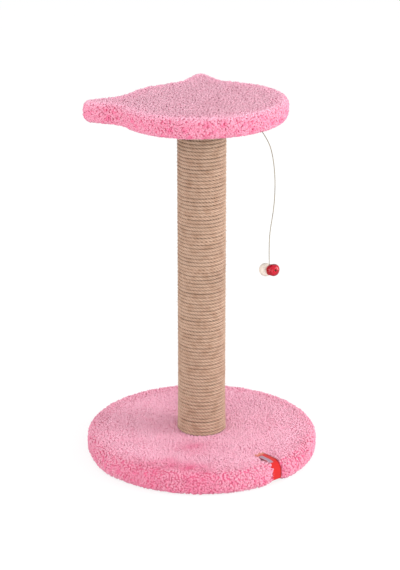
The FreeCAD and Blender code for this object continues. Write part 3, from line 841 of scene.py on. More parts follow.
def edgeTone(points):
    # share of painted shade: 1 on the bead's edge, 0 on its ends and on one side
    far = np.hypot(*points[:, :2].T)
    thick = 1 - points[:, 0] / far
    rise = beadSet["edgeRise"]
    return np.clip(far / beadSet["radius"] * rise - (rise - 1), 0, 1) * np.clip(thick, 0, 1)


def hangBeads(middle, way):
    plain, faces = turnedPiece(beadSection(), beadSet["columns"])
    across = unit(np.cross(way, (0.0, 0.0, 1.0)))
    frameAxes = np.stack([across, np.cross(way, across), way])
    distance = (beadSet["spacing"] + beadSet["length"]) / 2
    beads = []
    for name, sign, slot, body, node in beadSet["beads"]:
        points = plain.copy()
        if slot == "bead_red":
            points[:, :2] *= castShare(plain)[:, None]
        piece = addPiece(name, points @ frameAxes + middle + way * distance * sign, [faces])
        setFloat(piece, "beadEdgeShade", edgeTone(plain))
        beads.append(dress(piece, slot, node, body=body))
    return beads


hangToy()
print("toy: string, knots, tie and beads hung")


# rope wound round the post
ropeSet = {
    "windingRadius": 33.7,
    "lowLevel": 32.9,
    "highLevel": 514.3,
    "turns": 89,
    "startTurn": 60.0,
    "hand": -1,
    "levelShare": 0.8,      # share of the climb that is made at the back
    "backTurn": 42.0,
    "outReach": 2.4,        # half thickness across the post, pulled flat
    "upReach": 3.12,        # and along it, where loops press on each other
    "strands": 3,
    "pointsPerStrand": 5,
    "laysPerTurn": 14.38,
    "ringsPerTurn": 130,
    "grooveShare": 0.32,
    "groovePower": 1.6,
    "layWander": 2.4,       # how far the lay runs ahead and behind, radians
    "layWaves": (3.5, 2.0, 0.9, 0.47),
    "levelWander": 0.28,    # how far loops lie off their even places
    "levelWaves": (5.3, 2.7, 1.31),
    "evenEnds": 2,          # turns at each end over which the wander sets in
    "uneven": 0.035,        # how much its thickness changes
    "unevenWaves": (41.0, 23.0, 13.0, 7.0),
    "mapMargin": 0.04,
    "parts": [("ropeBottom", 0, 12, "rope_winding_bottom"),
              ("ropeMiddleLower", 12, 44, "rope_winding_middle"),
              ("ropeMiddleUpper", 44, 77, "rope_winding_middle"),
              ("ropeTop", 77, 89, "rope_winding_top")],
    "flare": 1.3,           # the lowest loops bulge out where they are pushed down
    "flareReach": 26.0,
    "seed": 11,
}

fuzzSet = {
    "count": 5200,
    "length": (3.0, 9.0),
    "radius": 0.09,
    "sides": 3,
    "steps": (0.0, 0.5, 1.0),
    "taper": (1.0, 0.7, 0.2),
    "facing": 1.1,          # how far round the rope they start, radians
    "rootShare": 0.93,
    "disorder": 0.5,
    "lift": (0.1, 0.55),
    "liftPower": 1.6,
    "alongShare": 0.8,
}


def windingLine(turn):
    # helix (R cos a, R sin a, z) with R = r + flare e^(-(z - low) / reach), and a climb made at the back:
    # z = low + pitch (t + share sin(2 pi (t - t0)) / 2 pi)
    r = ropeSet
    pitch = (r["highLevel"] - r["lowLevel"]) / r["turns"]
    angle = np.radians(r["startTurn"]) + r["hand"] * 2 * math.pi * turn
    back = (r["startTurn"] - r["backTurn"]) / 360
    swing = np.sin(2 * math.pi * (turn - back)) + math.sin(2 * math.pi * back)
    level = r["lowLevel"] + pitch * (turn + r["levelShare"] * swing / (2 * math.pi))
    ends = np.clip(np.minimum(turn, r["turns"] - turn) / r["evenEnds"], 0, 1)
    level = level + ends * r["levelWander"] * ripple(turn[:, None], r["levelWaves"], r["seed"] + 2)
    outward = np.stack([np.cos(angle), np.sin(angle), np.zeros_like(angle)], -1)
    radius = r["windingRadius"] + r["flare"] * np.exp((r["lowLevel"] - level) / r["flareReach"])
    return np.column_stack([outward[:, :2] * radius[:, None], level]), outward


def ropeAtlas(spans, cols, loops):
    # each loop is one strip of the map: along the loop, and round the rope inside the strip
    perTurn, margin = ropeSet["ringsPerTurn"], ropeSet["mapMargin"]
    span = np.arange(spans)[:, None]
    col = np.arange(cols)[None, :]
    left = (span % perTurn) / perTurn + col * 0
    right = left + 1 / perTurn
    low = (span // perTurn + margin + (1 - 2 * margin) * col / cols) / loops
    high = low + (1 - 2 * margin) / cols / loops
    corners = [np.stack(pair, -1) for pair in ((left, low), (left, high), (right, high), (right, low))]
    caps = np.zeros((2 * cols, 2))
    return np.concatenate([np.stack(corners, -2).reshape(-1, 2), caps])


def ropePart(name, first, last, node):
    # section: rho(b) = 1 - groove |sin(1.5 b)|^power in strand angle b, which turns with the lay;
    # the ring is drawn wider along the post than across it
    r = ropeSet
    strands, cols = r["strands"], r["strands"] * r["pointsPerStrand"]
    rows = (last - first) * r["ringsPerTurn"] + 1
    turn = first + np.arange(rows) / r["ringsPerTurn"]
    line, outward = windingLine(turn)
    strandAngle = roundAngles(cols)
    crest = 1 - np.abs(np.sin(strandAngle * strands / 2)) ** r["groovePower"]
    rho = 1 - r["grooveShare"] * (1 - crest)
    wander = r["layWander"] * ripple(turn[:, None], r["layWaves"], r["seed"] + 1)
    twist = strandAngle + (turn * r["laysPerTurn"] * 2 * math.pi + wander)[:, None]
    uneven = 1 + r["uneven"] * ripple(line, r["unevenWaves"], r["seed"])[:, None]
    out = rho * np.cos(twist) * r["outReach"] * uneven
    points = line[:, None] + outward[:, None] * out[..., None]
    points[..., 2] += rho * np.sin(twist) * r["upReach"] * uneven
    faces = [gridFaces(rows, cols, False, True), *endCaps(rows, cols)]
    piece = addPiece(name, points.reshape(-1, 3), faces)
    setFloat(piece, "strandCrest", np.tile(crest, rows))
    # where each loop meets the next, for the painted shade there
    setFloat(piece, "loopSeam", np.abs(np.sin(twist)))
    length = turn * 2 * math.pi * r["windingRadius"]
    lay = np.stack([np.repeat(length, cols), np.tile(strandAngle, rows)], -1)
    setMap(piece, "strandLay", lay[cornersOf(faces)])
    setMap(piece, "OFBake", ropeAtlas(rows - 1, cols, last - first))
    dress(piece, "rope", node)


def ropeFuzz():
    # stray fibres: q(s) = p + L (0.8 s along + lift s^1.6 out), three-sided and tapered
    f = fuzzSet
    rng = np.random.default_rng(ropeSet["seed"])
    count, rings, sides = f["count"], len(f["steps"]), f["sides"]
    turn = rng.uniform(0, ropeSet["turns"], count)
    line, outward = windingLine(turn)
    facing = rng.uniform(-f["facing"], f["facing"], count)
    rim = outward * (np.cos(facing) * ropeSet["outReach"])[:, None]
    rim[:, 2] += np.sin(facing) * ropeSet["upReach"]
    start = line + rim * f["rootShare"]
    along = np.stack([outward[:, 1], -outward[:, 0], np.zeros(count)], -1)
    along = along * rng.choice([-1, 1], count)[:, None]
    out = unit(rim + rng.normal(0, f["disorder"], (count, 3)))
    length = rng.uniform(*f["length"], count)[:, None, None]
    steps = np.array(f["steps"])[None, :, None]
    lift = rng.uniform(*f["lift"], count)[:, None, None]
    run = steps * along[:, None] * f["alongShare"] + lift * steps ** f["liftPower"] * out[:, None]
    centre = start[:, None] + length * run
    side = np.cross(along, out)
    ring = roundAngles(sides)
    thick = f["radius"] * np.array(f["taper"])[None, :, None, None]
    rays = out[:, None, None] * np.cos(ring)[:, None] + side[:, None, None] * np.sin(ring)[:, None]
    points = centre[:, :, None] + thick * rays
    base = (np.arange(count) * rings * sides)[:, None, None]
    faces = (gridFaces(rings, sides, False, True)[None] + base).reshape(-1, 4)
    ends = (np.concatenate(endCaps(rings, sides))[None] + base).reshape(-1, sides)
    piece = addPiece("ropeFuzz", points.reshape(-1, 3), [faces, ends])
    setFloat(piece, "strandCrest", np.ones(count * rings * sides))
    lay = turn * 2 * math.pi * ropeSet["windingRadius"]
    lay = np.concatenate([np.repeat(lay, part.size // count) for part in (faces, ends)])
    setMap(piece, "strandLay", np.stack([lay, lay * 0], -1))
    dress(piece, "rope")


for ropeName, firstTurn, lastTurn, ropeNode in ropeSet["parts"]:
    ropePart(ropeName, firstTurn, lastTurn, ropeNode)
ropeFuzz()
print("rope:", ropeSet["turns"], "turns wound")


# pile of the plush: curled locks that grow from a backing
pileSet = {
    "depth": 3.3,                   # of the locks' feet under the outline of the standing pile
    "backing": 2.8,                 # and of the matted ground between them
    "sink": 0.8,                    # roots start this far inside the backing
    "length": (4.4, 6.2),
    "bend": (1.25, 2.5),
    "halfWidth": (0.85, 1.35),
    "flatShare": 0.8,               # thickness of a lock, of its width
    "ringSteps": (0.0, 0.42, 0.78),
    "ringShares": (0.75, 1.0, 0.74),
    "sides": 4,
    "areaPerLock": 4.6,
    "areaPower": 1.6,               # how that area grows with a lock's size
    "tuft": 1.35,                   # locks of the platform and of the rims are this much thicker
    "rimWide": 1.3,                 # and those of the rims wider again
    "crowd": 0.84,                  # area of each lock where they stand close, of what its thickness asks for
    "jitterShare": 0.35,
    "passJitter": 0.2,
    "edgeReach": 34.0,              # over which a top's painted sheen gives way to the tone of its rim
    "edgeTone": 0.35,
    "napSwing": 2.4,                # slow swing of the nap and its disorder, radians
    "napWaves": (150.0, 97.0, 60.0),
    "napDisorder": 1.1,
    "clump": 0.85,
    "clumpWaves": (21.0, 15.0, 11.0, 8.0),
    "mapRoom": 0.06,                # free part round each lock's square of the map
    "mapRoot": 0.01,
    "floor": 0.25,                  # no lock goes lower
}


def lockFaces(count):
    # faces of one lock, repeated: two bands of quads, four triangles at the tip and a square at the root
    rings, sides = len(pileSet["ringSteps"]), pileSet["sides"]
    band = gridFaces(rings, sides, False, True)
    tip = fanFaces((rings - 1) * sides + np.arange(sides), rings * sides)
    root = np.arange(sides)[::-1][None]
    base = (np.arange(count) * (rings * sides + 1))[:, None, None]
    quads = (np.concatenate([band, root])[None] + base).reshape(-1, sides)
    return [quads, (tip[None] + base).reshape(-1, 3)]


def lockAtlas(count):
    # each lock has one square of the map, its rings across and its length upwards
    rings, sides = len(pileSet["ringSteps"]), pileSet["sides"]
    room, small = pileSet["mapRoom"], pileSet["mapRoot"]
    grid = math.ceil(math.sqrt(count))
    cell = np.stack([np.arange(count) % grid, np.arange(count) // grid], -1)[:, None, None] / grid
    ring, side = (part.reshape(-1, 1) for part in np.mgrid[0:rings - 1, 0:sides])
    band = np.stack([np.hstack([side, side + 1, side + 1, side]) / sides,
                     np.hstack([ring, ring, ring + 1, ring + 1]) / rings], -1)
    root = np.array([[[0.0, 0.0], [small, 0.0], [small, small], [0.0, small]]])
    side = np.arange(sides)[:, None]
    top = (rings - 1) / rings
    tip = np.stack([np.hstack([side, side + 1, side + 0.5]) / sides,
                    np.hstack([side * 0 + top, side * 0 + top, side * 0 + 1])], -1)
    fit = [(room + part * (1 - 2 * room)) / grid for part in (np.concatenate([band, root]), tip)]
    return np.concatenate([(part[None] + cell).reshape(-1, 2) for part in fit])


def growLocks(name, roots, normals, leans, naps, facing, size, seed, reach=1.0, pale=1.0):
    # lock: c(t) = root + L (n sin(b t) + l (1 - cos(b t))) / b, an arc that leaves along n and bends to l;
    # its ring: c(t) + w r(t) (flat cos(a) x + sin(a) y), with x in the arc's plane and y = n cross l;
    # size and reach are one number, or one for each lock
    rng = np.random.default_rng(seed)
    count, sides = len(roots), pileSet["sides"]
    steps, shares = np.array(pileSet["ringSteps"]), np.array(pileSet["ringShares"])
    length = (rng.uniform(*pileSet["length"], count) * reach)[:, None, None]
    bend = rng.uniform(*pileSet["bend"], count)[:, None, None]
    width = (rng.uniform(*pileSet["halfWidth"], count) * size)[:, None, None, None]
    twist = rng.uniform(0, math.pi / 2, count)
    leans = unit(leans - normals * (leans * normals).sum(-1, keepdims=True))
    normal, lean = normals[:, None], leans[:, None]
    rings = bend * np.append(steps, 1.0)[None, :, None]
    arc = length / bend * (normal * np.sin(rings) + lean * (1 - np.cos(rings)))
    centre = (roots - normals * pileSet["sink"])[:, None] + arc
    turned = bend * steps[None, :, None]
    across = lean * np.cos(turned) - normal * np.sin(turned)
    side = np.cross(normals, leans)[:, None, None]
    angle = (roundAngles(sides) + twist[:, None])[:, None, :, None]
    body = pileSet["flatShare"] * np.cos(angle) * across[:, :, None] + np.sin(angle) * side
    body = centre[:, :-1, None] + width * shares[None, :, None, None] * body
    points = np.concatenate([body.reshape(count, -1, 3), centre[:, -1:]], 1)
    points[..., 2] = np.maximum(points[..., 2], pileSet["floor"])
    piece = addPiece(name, points.reshape(-1, 3), lockFaces(count))
    rise = np.append(np.repeat(steps, sides), 1.0)
    setFloat(piece, "lockRise", np.tile(rise, count))
    for label, values in (("lockTone", rng.uniform(0, pale, count)), ("napShade", naps), ("paintedSheen", facing)):
        setFloat(piece, label, np.repeat(values, len(rise)))
    setMap(piece, "OFBake", lockAtlas(count))
    dress(piece, "plush")


def paintedSheenShare(normals, edge):
    # share of painted sheen: 1 where the pile lies flat on top, less near the edge, 0 on the rim
    least = pileSet["edgeTone"]
    inward = np.clip(edge / pileSet["edgeReach"], 0, 1)
    return np.clip(normals[:, 2], 0, 1) ** 2 * (least + (1 - least) * inward)


def lockArea(size):
    return pileSet["areaPerLock"] * size ** pileSet["areaPower"]


def napLeans(places, normals, down, seed):
    # which way the pile lies: a slow swing with a lot of disorder, from the way down
    rng = np.random.default_rng(seed)
    way = pileSet["napSwing"] * ripple(places, pileSet["napWaves"], seed)
    way = (way + rng.normal(0, pileSet["napDisorder"], len(places)))[:, None]
    return down * np.cos(way) + np.cross(normals, down) * np.sin(way)


def clumpShadeShare(places, normals, seed):
    # painted shade in small clumps on a rim, where locks part
    clumps = np.clip(ripple(places, pileSet["clumpWaves"], seed), 0, 1)
    return pileSet["clump"] * clumps * (1 - np.clip(normals[:, 2], 0, 1))


# base
baseSet = {
    "radius": 175.0,
    "height": 35.6,
    "topEdge": 12.8,
    "bottomEdge": 10.2,
    "hemLevel": 2.0,
    "postRoom": 37.0,
    "footLevel": 30.0,
    "boltRoom": 4.3,
    "innerTop": 28.7,
    "innerRadius": 167.9,
    "innerEdge": 5,
    "hemTop": 4.9,
    "hemInner": 128.1,
    "recess": 2.8,
    "liningRoom": 146.2,
    "columns": 300,
    "topSteps": 46,
    "edgeSteps": 9,
    "hemSteps": 7,
    "fineSteps": 12,                # between points of the section, where places for locks are found
    "topSlack": 0.01,               # what still counts as its top
    "uneven": 0.5,
    "unevenWaves": (90.0, 61.0, 37.0),
    # rings of pile: name, radius where each starts, how thick its locks are and how much room each has
    "rings": [("basePileInner", 37.6, 1.02, 0.8), ("basePileMiddle", 104.0, 1.15, 0.78),
              ("basePileOuter", 144.0, 1.28, 0.76), ("basePileRim", 163.0, 1.4, 0.81)],
    "tuft": (1.1, 80.0, 85.0),      # size of its inner locks, and from where and over what reach they grow
    "postReach": 4.0,               # beside the post, where locks lean away and lie shorter
    "postLean": 2,
    "postShort": 0.15,
    "underShort": 0.25,             # and where the rim turns under
    "topPaintedSheen": 0.5,                 # share of painted sheen on its top
    "seed": 21,
    "napSeed": 31,
    "lockSeed": 41,
    "bulge": (168.0, 11.0, 2.6),    # bearing, reach and size of a swelling of its rim
    "bulgeRise": (150.0, 20.0),     # radius where it sets in, and over what reach
    "brushed": [(-152.0, -46.0, 20.0, 0.6), (-132.0, -58.0, 18.0, 0.75), (-124.0, -84.0, 20.0, 0.75),
                (-118.0, -102.0, 20.0, 0.6), (-66.0, -44.0, 24.0, 0.5), (-146.0, -120.0, 40.0, 0.5),
                (-166.0, -28.0, 26.0, 0.4)],  # x, y, reach and strength of the places where the nap is turned, which take painted shade
    "brushedUneven": 0.25,
    "brushedWaves": (33.0, 21.0),
    "brushedSeed": 5,
}

ribbonSet = {
    "width": 17.0,
    "thickness": 0.7,
    "sink": 2.9,            # middle of the ribbon under the outline of the pile
    "start": 125.5,
    "finish": 150.4,
    "turn": -97.8,
    "cols": 13,
    "steps": (40, 22, 16, 14),
    "bend": 6.0,            # added to the radius of its bend over the rim
    "bed": 3.9,             # how much further it presses the backing in
    "bedEdge": 16.0,        # and how far beside it the pile is pulled in
    "bedStart": (14, 34),   # how far before its start that sets in, and over what reach
    "bedMiddle": 150,       # radius of the middle of the rim's section
    "bedPower": 1.5,
    "lowSink": 4.6,         # under the rim, where it is pulled tight
    "lap": 2.0,             # pile hangs over its inner end
    "stripe": 27.0,         # end of its woven stripe
    "leftRoom": (-0.5, 0.2),        # pile on its near side, beside the stripe and past it
    "leftPush": (1.2, 2.5),         # and how strongly it leans over the edge in those two places
    "leanReach": 3,
    "leanTo": 0.6,          # how far inside the edge pile still leans
    "frayed": 8.5,          # length of its frayed end, which the pile leaves free
    "frayedRoom": 0.5,
    "rightRoom": 1.3,
    "edgeLift": (0.35, 4),
    "wave": (0.2, 9, 1.3),
    "sway": (0.5, 21),
}


def baseOutline(depth):
    # outside of the base at a depth inside the pile: top, rim and the hem turned under
    b = baseSet
    radius, height, hem = b["radius"], b["height"], b["hemLevel"]
    top, low = b["topEdge"], b["bottomEdge"]
    return np.concatenate([
        np.linspace((b["postRoom"], height - depth), (radius - top, height - depth), b["topSteps"]),
        arcPoints((radius - top, height - top), (top - depth, top - depth), 90, 0, b["edgeSteps"])[1:],
        arcPoints((radius - low, low), (low - depth, low - hem), 0, -90, b["edgeSteps"]),
        np.linspace((radius - low, hem), (b["liningRoom"], hem), b["hemSteps"])[1:],
    ])


def ribbonAxes():
    turn = math.radians(ribbonSet["turn"])
    return np.array([math.cos(turn), math.sin(turn)]), np.array([-math.sin(turn), math.cos(turn)])


def ribbonPlaces(places):
    # how far places lie along the ribbon's way, and to its side
    along, across = ribbonAxes()
    return places[:, :2] @ along, places[:, :2] @ across


def swell(places):
    # move places on the rim outward where the plush is stuffed fuller
    bearing, reach, size = baseSet["bulge"]
    start, over = baseSet["bulgeRise"]
    turn = (np.degrees(np.arctan2(places[:, 1], places[:, 0])) - bearing + 180) % 360 - 180
    far = np.hypot(*places[:, :2].T)
    share = np.exp(-(turn / reach) ** 2) * np.clip((far - start) / over, 0, 1)
    places[:, :2] += unit(places[:, :2]) * (size * share)[:, None]


def pressIn(places):
    # move places towards the middle of the rim's section, most under the ribbon and less beside it
    r = ribbonSet
    reach, side = ribbonPlaces(places)
    before, over = r["bedStart"]
    beside = np.clip((r["width"] / 2 + r["bedEdge"] - np.abs(side)) / r["bedEdge"], 0, 1)
    beside = beside * np.clip((reach - r["start"] + before) / over, 0, 1)
    level = np.full(len(places), baseSet["height"] / 2)
    middle = np.column_stack([unit(places[:, :2]) * r["bedMiddle"], level])
    places += unit(middle - places) * (r["bed"] * beside ** r["bedPower"])[:, None]


def clearOfRibbon(places):
    # true where no lock grows through the ribbon
    r = ribbonSet
    reach, side = ribbonPlaces(places)
    half = r["width"] / 2
    left = np.where(reach < r["start"] + r["stripe"], *r["leftRoom"])
    left = np.where(reach < r["start"] + r["frayed"], r["frayedRoom"], left)
    under = (side > -half - left) & (side < half + r["rightRoom"])
    return ~(under & (reach > r["start"] + r["lap"]))


def overRibbon(places):
    # push that makes the pile on the ribbon's near side lie over its edge
    r = ribbonSet
    reach, side = ribbonPlaces(places)
    side = side + r["width"] / 2
    push = np.where(reach < r["start"] + r["stripe"], *r["leftPush"]) * np.exp(-(side / r["leanReach"]) ** 2)
    share = push * (side < r["leanTo"]) * (reach > r["start"] + r["frayed"])
    return share[:, None] * np.append(ribbonAxes()[1], 0)


def brushedShadeShare(places):
    # patches where the nap is stroked the other way, painted deeper as shade
    b = baseSet
    share = np.zeros(len(places))
    for x, y, reach, strength in b["brushed"]:
        far = np.hypot(places[:, 0] - x, places[:, 1] - y) / reach
        share = np.maximum(share, strength * np.exp(-far ** 2))
    uneven = b["brushedUneven"] * ripple(places, b["brushedWaves"], b["brushedSeed"])
    return np.clip(share + uneven * share, 0, 1)


def baseCover():
    b = baseSet
    edge, wall, roof = b["innerEdge"], b["innerRadius"], b["innerTop"]
    inside = np.array([
        (b["liningRoom"], b["recess"]), (b["hemInner"], b["recess"]), (b["hemInner"], b["hemTop"]),
        (wall - edge, b["hemTop"]), (wall, b["hemTop"] + edge), (wall, roof - edge), (wall - edge, roof),
        (b["boltRoom"], roof), (b["boltRoom"], b["footLevel"]), (b["postRoom"], b["footLevel"]),
    ])
    outline = baseOutline(pileSet["backing"])
    points, faces = turnedPiece(np.concatenate([outline, inside]), b["columns"])
    onTop = points[:, 2] > b["height"] - pileSet["backing"] - b["topSlack"]
    points[onTop, 2] += b["uneven"] * ripple(points[onTop], b["unevenWaves"], b["seed"])
    outside = points[:len(outline) * b["columns"]]
    pressIn(outside)
    swell(outside)
    piece = dress(addPiece("baseCover", points, [faces]), "plush", "base_cover")
    # painted sheen on the top of the backing
    setFloat(piece, "paintedSheen", onTop * b["topPaintedSheen"])


def turnedAreas(outline):
    # area that each step of an outline passes over when it is turned
    return np.hypot(*np.diff(outline, axis=0).T) * (outline[:-1, 0] + outline[1:, 0]) * math.pi


def sunflower(outline, count, rng):
    # point i is where a share (i + 0.5) / count of the turned area is passed, i golden turns round
    passed = passedLengths(turnedAreas(outline))
    across = math.sqrt(passed[-1] / count)
    share = (np.arange(count) + 0.5 + rng.normal(0, pileSet["passJitter"], count)) / count
    ahead = unit(np.gradient(outline, axis=0))
    radius, level, dr, dz = (np.interp(share * passed[-1], passed, part) for part in (*outline.T, *ahead.T))
    angle = np.arange(count) * goldenTurn + rng.normal(0, pileSet["jitterShare"], count) * across / radius
    outward = np.stack([np.cos(angle), np.sin(angle)], -1)
    places = np.column_stack([outward * radius[:, None], level])
    normals = unit(np.column_stack([outward * -dz[:, None], dr]))
    down = unit(np.column_stack([outward * dr[:, None], dz]))
    return places, normals, down


def basePile():
    # four rings of locks, thicker towards the rim, shorter beside the post and where the rim turns under
    b = baseSet
    outline = baseOutline(pileSet["depth"])
    fine = np.concatenate([np.linspace(*ends, b["fineSteps"])[:-1] for ends in zip(outline, outline[1:])])
    radius = np.maximum.accumulate(fine[:, 0])
    borders = [*np.searchsorted(radius, [ring[1] for ring in b["rings"]]), len(fine)]
    small, start, over = b["tuft"]
    made = 0
    for number, (name, _, thick, crowd) in enumerate(b["rings"]):
        rng = np.random.default_rng(b["seed"] + number)
        part = fine[borders[number]:borders[number + 1]]
        count = int(turnedAreas(part).sum() / (lockArea(thick) * crowd))
        places, normals, down = sunflower(part, count, rng)
        keep = clearOfRibbon(places)
        places, normals, down = places[keep], normals[keep], down[keep]
        pressIn(places)
        swell(places)
        far = np.hypot(*places[:, :2].T)
        size = small + (pileSet["tuft"] - small) * np.clip((far - start) / over, 0, 1)
        size *= 1 + (pileSet["rimWide"] - 1) * (1 - np.clip(normals[:, 2], 0, 1))
        nearPost = np.exp(-((far - b["postRoom"]) / b["postReach"]) ** 2)
        leans = napLeans(places, normals, down, b["napSeed"] + number)
        leans = leans - b["postLean"] * down * nearPost[:, None] + overRibbon(places)
        under = np.clip(-normals[:, 2], 0, 1)
        # share of painted sheen on each lock
        facing = b["topPaintedSheen"] * paintedSheenShare(normals, b["radius"] - far)
        # painted shade on brushed patches and rim clumps
        naps = np.maximum(brushedShadeShare(places), clumpShadeShare(places, normals, b["seed"]))
        growLocks(name, places, normals, leans, naps, facing, size, b["lockSeed"] + number,
                  1 - b["postShort"] * nearPost - b["underShort"] * under)
        made += len(places)
    print("base pile:", made, "locks")


baseCover()
basePile()


def ribbonPath():
    # radius and level of the ribbon's middle line: in on top, over the rim, and under
    r = ribbonSet
    sink, lowSink, radius, height = r["sink"], r["lowSink"], baseSet["radius"], baseSet["height"]
    top, low = baseSet["topEdge"] + r["bend"], baseSet["bottomEdge"]
    onTop, over, under, inward = r["steps"]
    return np.concatenate([
        np.linspace((r["start"], height - sink), (radius - top, height - sink), onTop),
        arcPoints((radius - top, height - top), (top - lowSink, top - sink), 90, 0, over)[1:],
        arcPoints((radius - low, low), (low - lowSink, low - lowSink), 0, -90, under),
        np.linspace((radius - low, lowSink), (r["finish"], lowSink), inward)[1:],
    ])


def makeRibbon():
    # strip carried along its path, its edges lifted a little and its run a little uneven
    line = ribbonPath()
    along = passedLengths(np.hypot(*np.diff(line, axis=0).T))
    ahead = unit(np.gradient(line, axis=0))
    out = np.stack([-ahead[:, 1], ahead[:, 0]], -1)
    across = np.linspace(-1, 1, ribbonSet["cols"])
    half, thick = ribbonSet["width"] / 2, ribbonSet["thickness"] / 2
    edge, power = ribbonSet["edgeLift"]
    wave, length, slant = ribbonSet["wave"]
    sway, slow = ribbonSet["sway"]
    lift = edge * across ** power + wave * np.sin(along[:, None] / length + across * slant)
    sideways = across * half + (sway * np.sin(along / slow))[:, None]
    radialWay, sideWay = ribbonAxes()
    rings = []
    for height in (thick, -thick):
        section = line[:, None] + out[:, None] * (lift + height)[..., None]
        flat = section[..., :1] * radialWay + sideways[..., None] * sideWay
        rings.append(np.concatenate([flat, section[..., 1:]], -1))
    loop = np.concatenate([rings[0], rings[1][:, ::-1]], 1)
    rows, cols = loop.shape[:2]
    faces = [gridFaces(rows, cols, False, True, flip=True)]
    for start, turn in ((0, 1), ((rows - 1) * cols, -1)):
        i = np.arange(cols // 2 - 1)
        cap = np.stack([start + i, start + i + 1, start + cols - 2 - i, start + cols - 1 - i], -1)
        faces.append(cap[:, ::turn])
    piece = addPiece("labelRibbon", loop.reshape(-1, 3), faces)
    width = np.concatenate([across, across[::-1]]) * half
    lay = np.stack([np.tile(width, rows), np.repeat(along, cols)], -1)
    setMap(piece, "ribbonLay", lay[cornersOf(faces)])
    dress(piece, "ribbon", "label_ribbon")
    print("ribbon:", round(along[-1], 1), "mm long")


makeRibbon()


# platform, cut like a cat's head
headSet = {
    "middle": (1.6, -1.8),  # screwed on a little off the post's axis
    "halfWidth": 129.2,
    "halfDepth": 119.4,
    "earX": 115.0,
    "earY": 108.5,
    "tipRadius": 15.0,
    "rootRadius": 50.0,
    "outerLean": 20.2,
    "innerLean": 71.4,
    "low": 516.1,
    "top": 548.0,
    "topEdge": 10.9,
    "bottomEdge": 11.8,
    "hemLevel": 2.2,
    "crown": 0.8,           # foam swells the top a little
    "uneven": 0.4,
    "unevenWaves": (80.0, 55.0, 34.0),
    "liningRoom": 106.2,
    "hemInner": 88.2,
    "recess": 2.8,
    "hemTop": 5.1,
    "wall": 7.1,
    "innerTop": 540.9,
    "lowFold": 5,           # roundings of its hollow
    "topFold": 3,
    "columns": 420,
    "arcSteps": 60,
    "sameSpot": 1e-6,       # arcs share their ends
    "rimSteps": 9,
    "topRows": (0.03, 0.98, 34),    # shares of the outline that the rows on top have
    "hemRows": (0.33, 0.67, 1.0),
    "roofShare": 0.03,
    "pale": 0.4,            # fewer pale tips than on the base
    "topJitter": 0.6,
    "topLap": 1.5,          # how far the top's locks go on over the edge
    "underShort": 0.35,
    "rimTuft": 1.5,         # its rim has thick, rounded locks
    "rimCrowd": 0.52,       # that stand close
    "earTuft": (24.0, 0.32),  # and are this much wider within so far of the middle of an ear's tip
    "seed": 41,
}


def headArcs():
    # outline as arcs (centre, radius, first angle, last angle), hollow ones with a negative radius
    h = headSet
    shift = (h["halfWidth"] - h["halfDepth"]) / (2 - math.sqrt(2))
    cheek, cheekRadius = np.array([shift, 0.0]), h["halfWidth"] - shift
    brow, chin, longRadius = np.array([0.0, -shift]), np.array([0.0, shift]), h["halfDepth"] + shift
    tip, root = np.array([h["earX"], h["earY"]]), h["rootRadius"]

    def heading(degrees):
        return np.array([math.cos(math.radians(degrees)), math.sin(math.radians(degrees))])

    def rootCentre(centre, radius, normal, along):
        outward = normal @ (tip - centre) + h["tipRadius"] + root
        return centre + normal * outward + along * math.sqrt((radius + root) ** 2 - outward ** 2)

    outerWay, innerWay = -h["outerLean"], 180 - h["innerLean"]
    outer = rootCentre(cheek, cheekRadius, heading(outerWay), heading(90 - h["outerLean"]))
    inner = rootCentre(brow, longRadius, heading(innerWay), heading(90 - h["innerLean"]))
    cheekEnd = math.degrees(math.atan2(*(outer - cheek)[::-1]))
    browEnd = math.degrees(math.atan2(*(inner - brow)[::-1]))
    return [
        (chin, longRadius, -90.0, -45.0),
        (cheek, cheekRadius, -45.0, cheekEnd),
        (outer, -root, cheekEnd + 180, outerWay + 180),
        (tip, h["tipRadius"], outerWay, innerWay),
        (inner, -root, innerWay + 180, browEnd + 180),
        (brow, longRadius, browEnd, 90.0),
    ]


def headOutline():
    # points evenly spaced along the outline, the outward normal at each, and the length round it
    places, normals = [], []
    for centre, radius, first, last in headArcs():
        angle = np.radians(np.linspace(first, last, headSet["arcSteps"]))
        ray = np.stack([np.cos(angle), np.sin(angle)], -1)
        places.append(centre + ray * abs(radius))
        normals.append(ray * np.sign(radius))
    right, way = np.concatenate(places), np.concatenate(normals)
    mirror = np.array([-1.0, 1.0])
    places = np.concatenate([right, right[::-1] * mirror])
    normals = np.concatenate([way, way[::-1] * mirror])
    step = np.linalg.norm(np.roll(places, -1, 0) - places, axis=1)
    keep = step > headSet["sameSpot"]
    along = passedLengths(step[keep])
    even = np.arange(headSet["columns"]) * along[-1] / headSet["columns"]

    def evenly(values):
        closed = np.concatenate([values, values[:1]])
        return np.stack([np.interp(even, along, part) for part in closed.T], -1)

    return evenly(places[keep]) + headSet["middle"], unit(evenly(normals[keep])), along[-1]


def headRow(spots, ways, inset, level, scale=1.0):
    flat = (spots - ways * inset) * scale
    return np.column_stack([flat, np.full(len(flat), level)])


def ringRow(spots, radius, level):
    return np.column_stack([unit(spots) * radius, np.full(len(spots), level)])


def platformRim(depth):
    # section of the rim as inset and level: over the top edge, down, and under the lower edge
    h = headSet
    top, low = h["topEdge"], h["bottomEdge"]
    upper = arcPoints((-top, h["top"] - top), (top - depth, top - depth), 90, 0, h["rimSteps"])
    lower = arcPoints((-low, h["low"] + low), (low - depth, low - h["hemLevel"]), 0, -90, h["rimSteps"])
    return np.concatenate([upper, lower]) * (-1, 1)


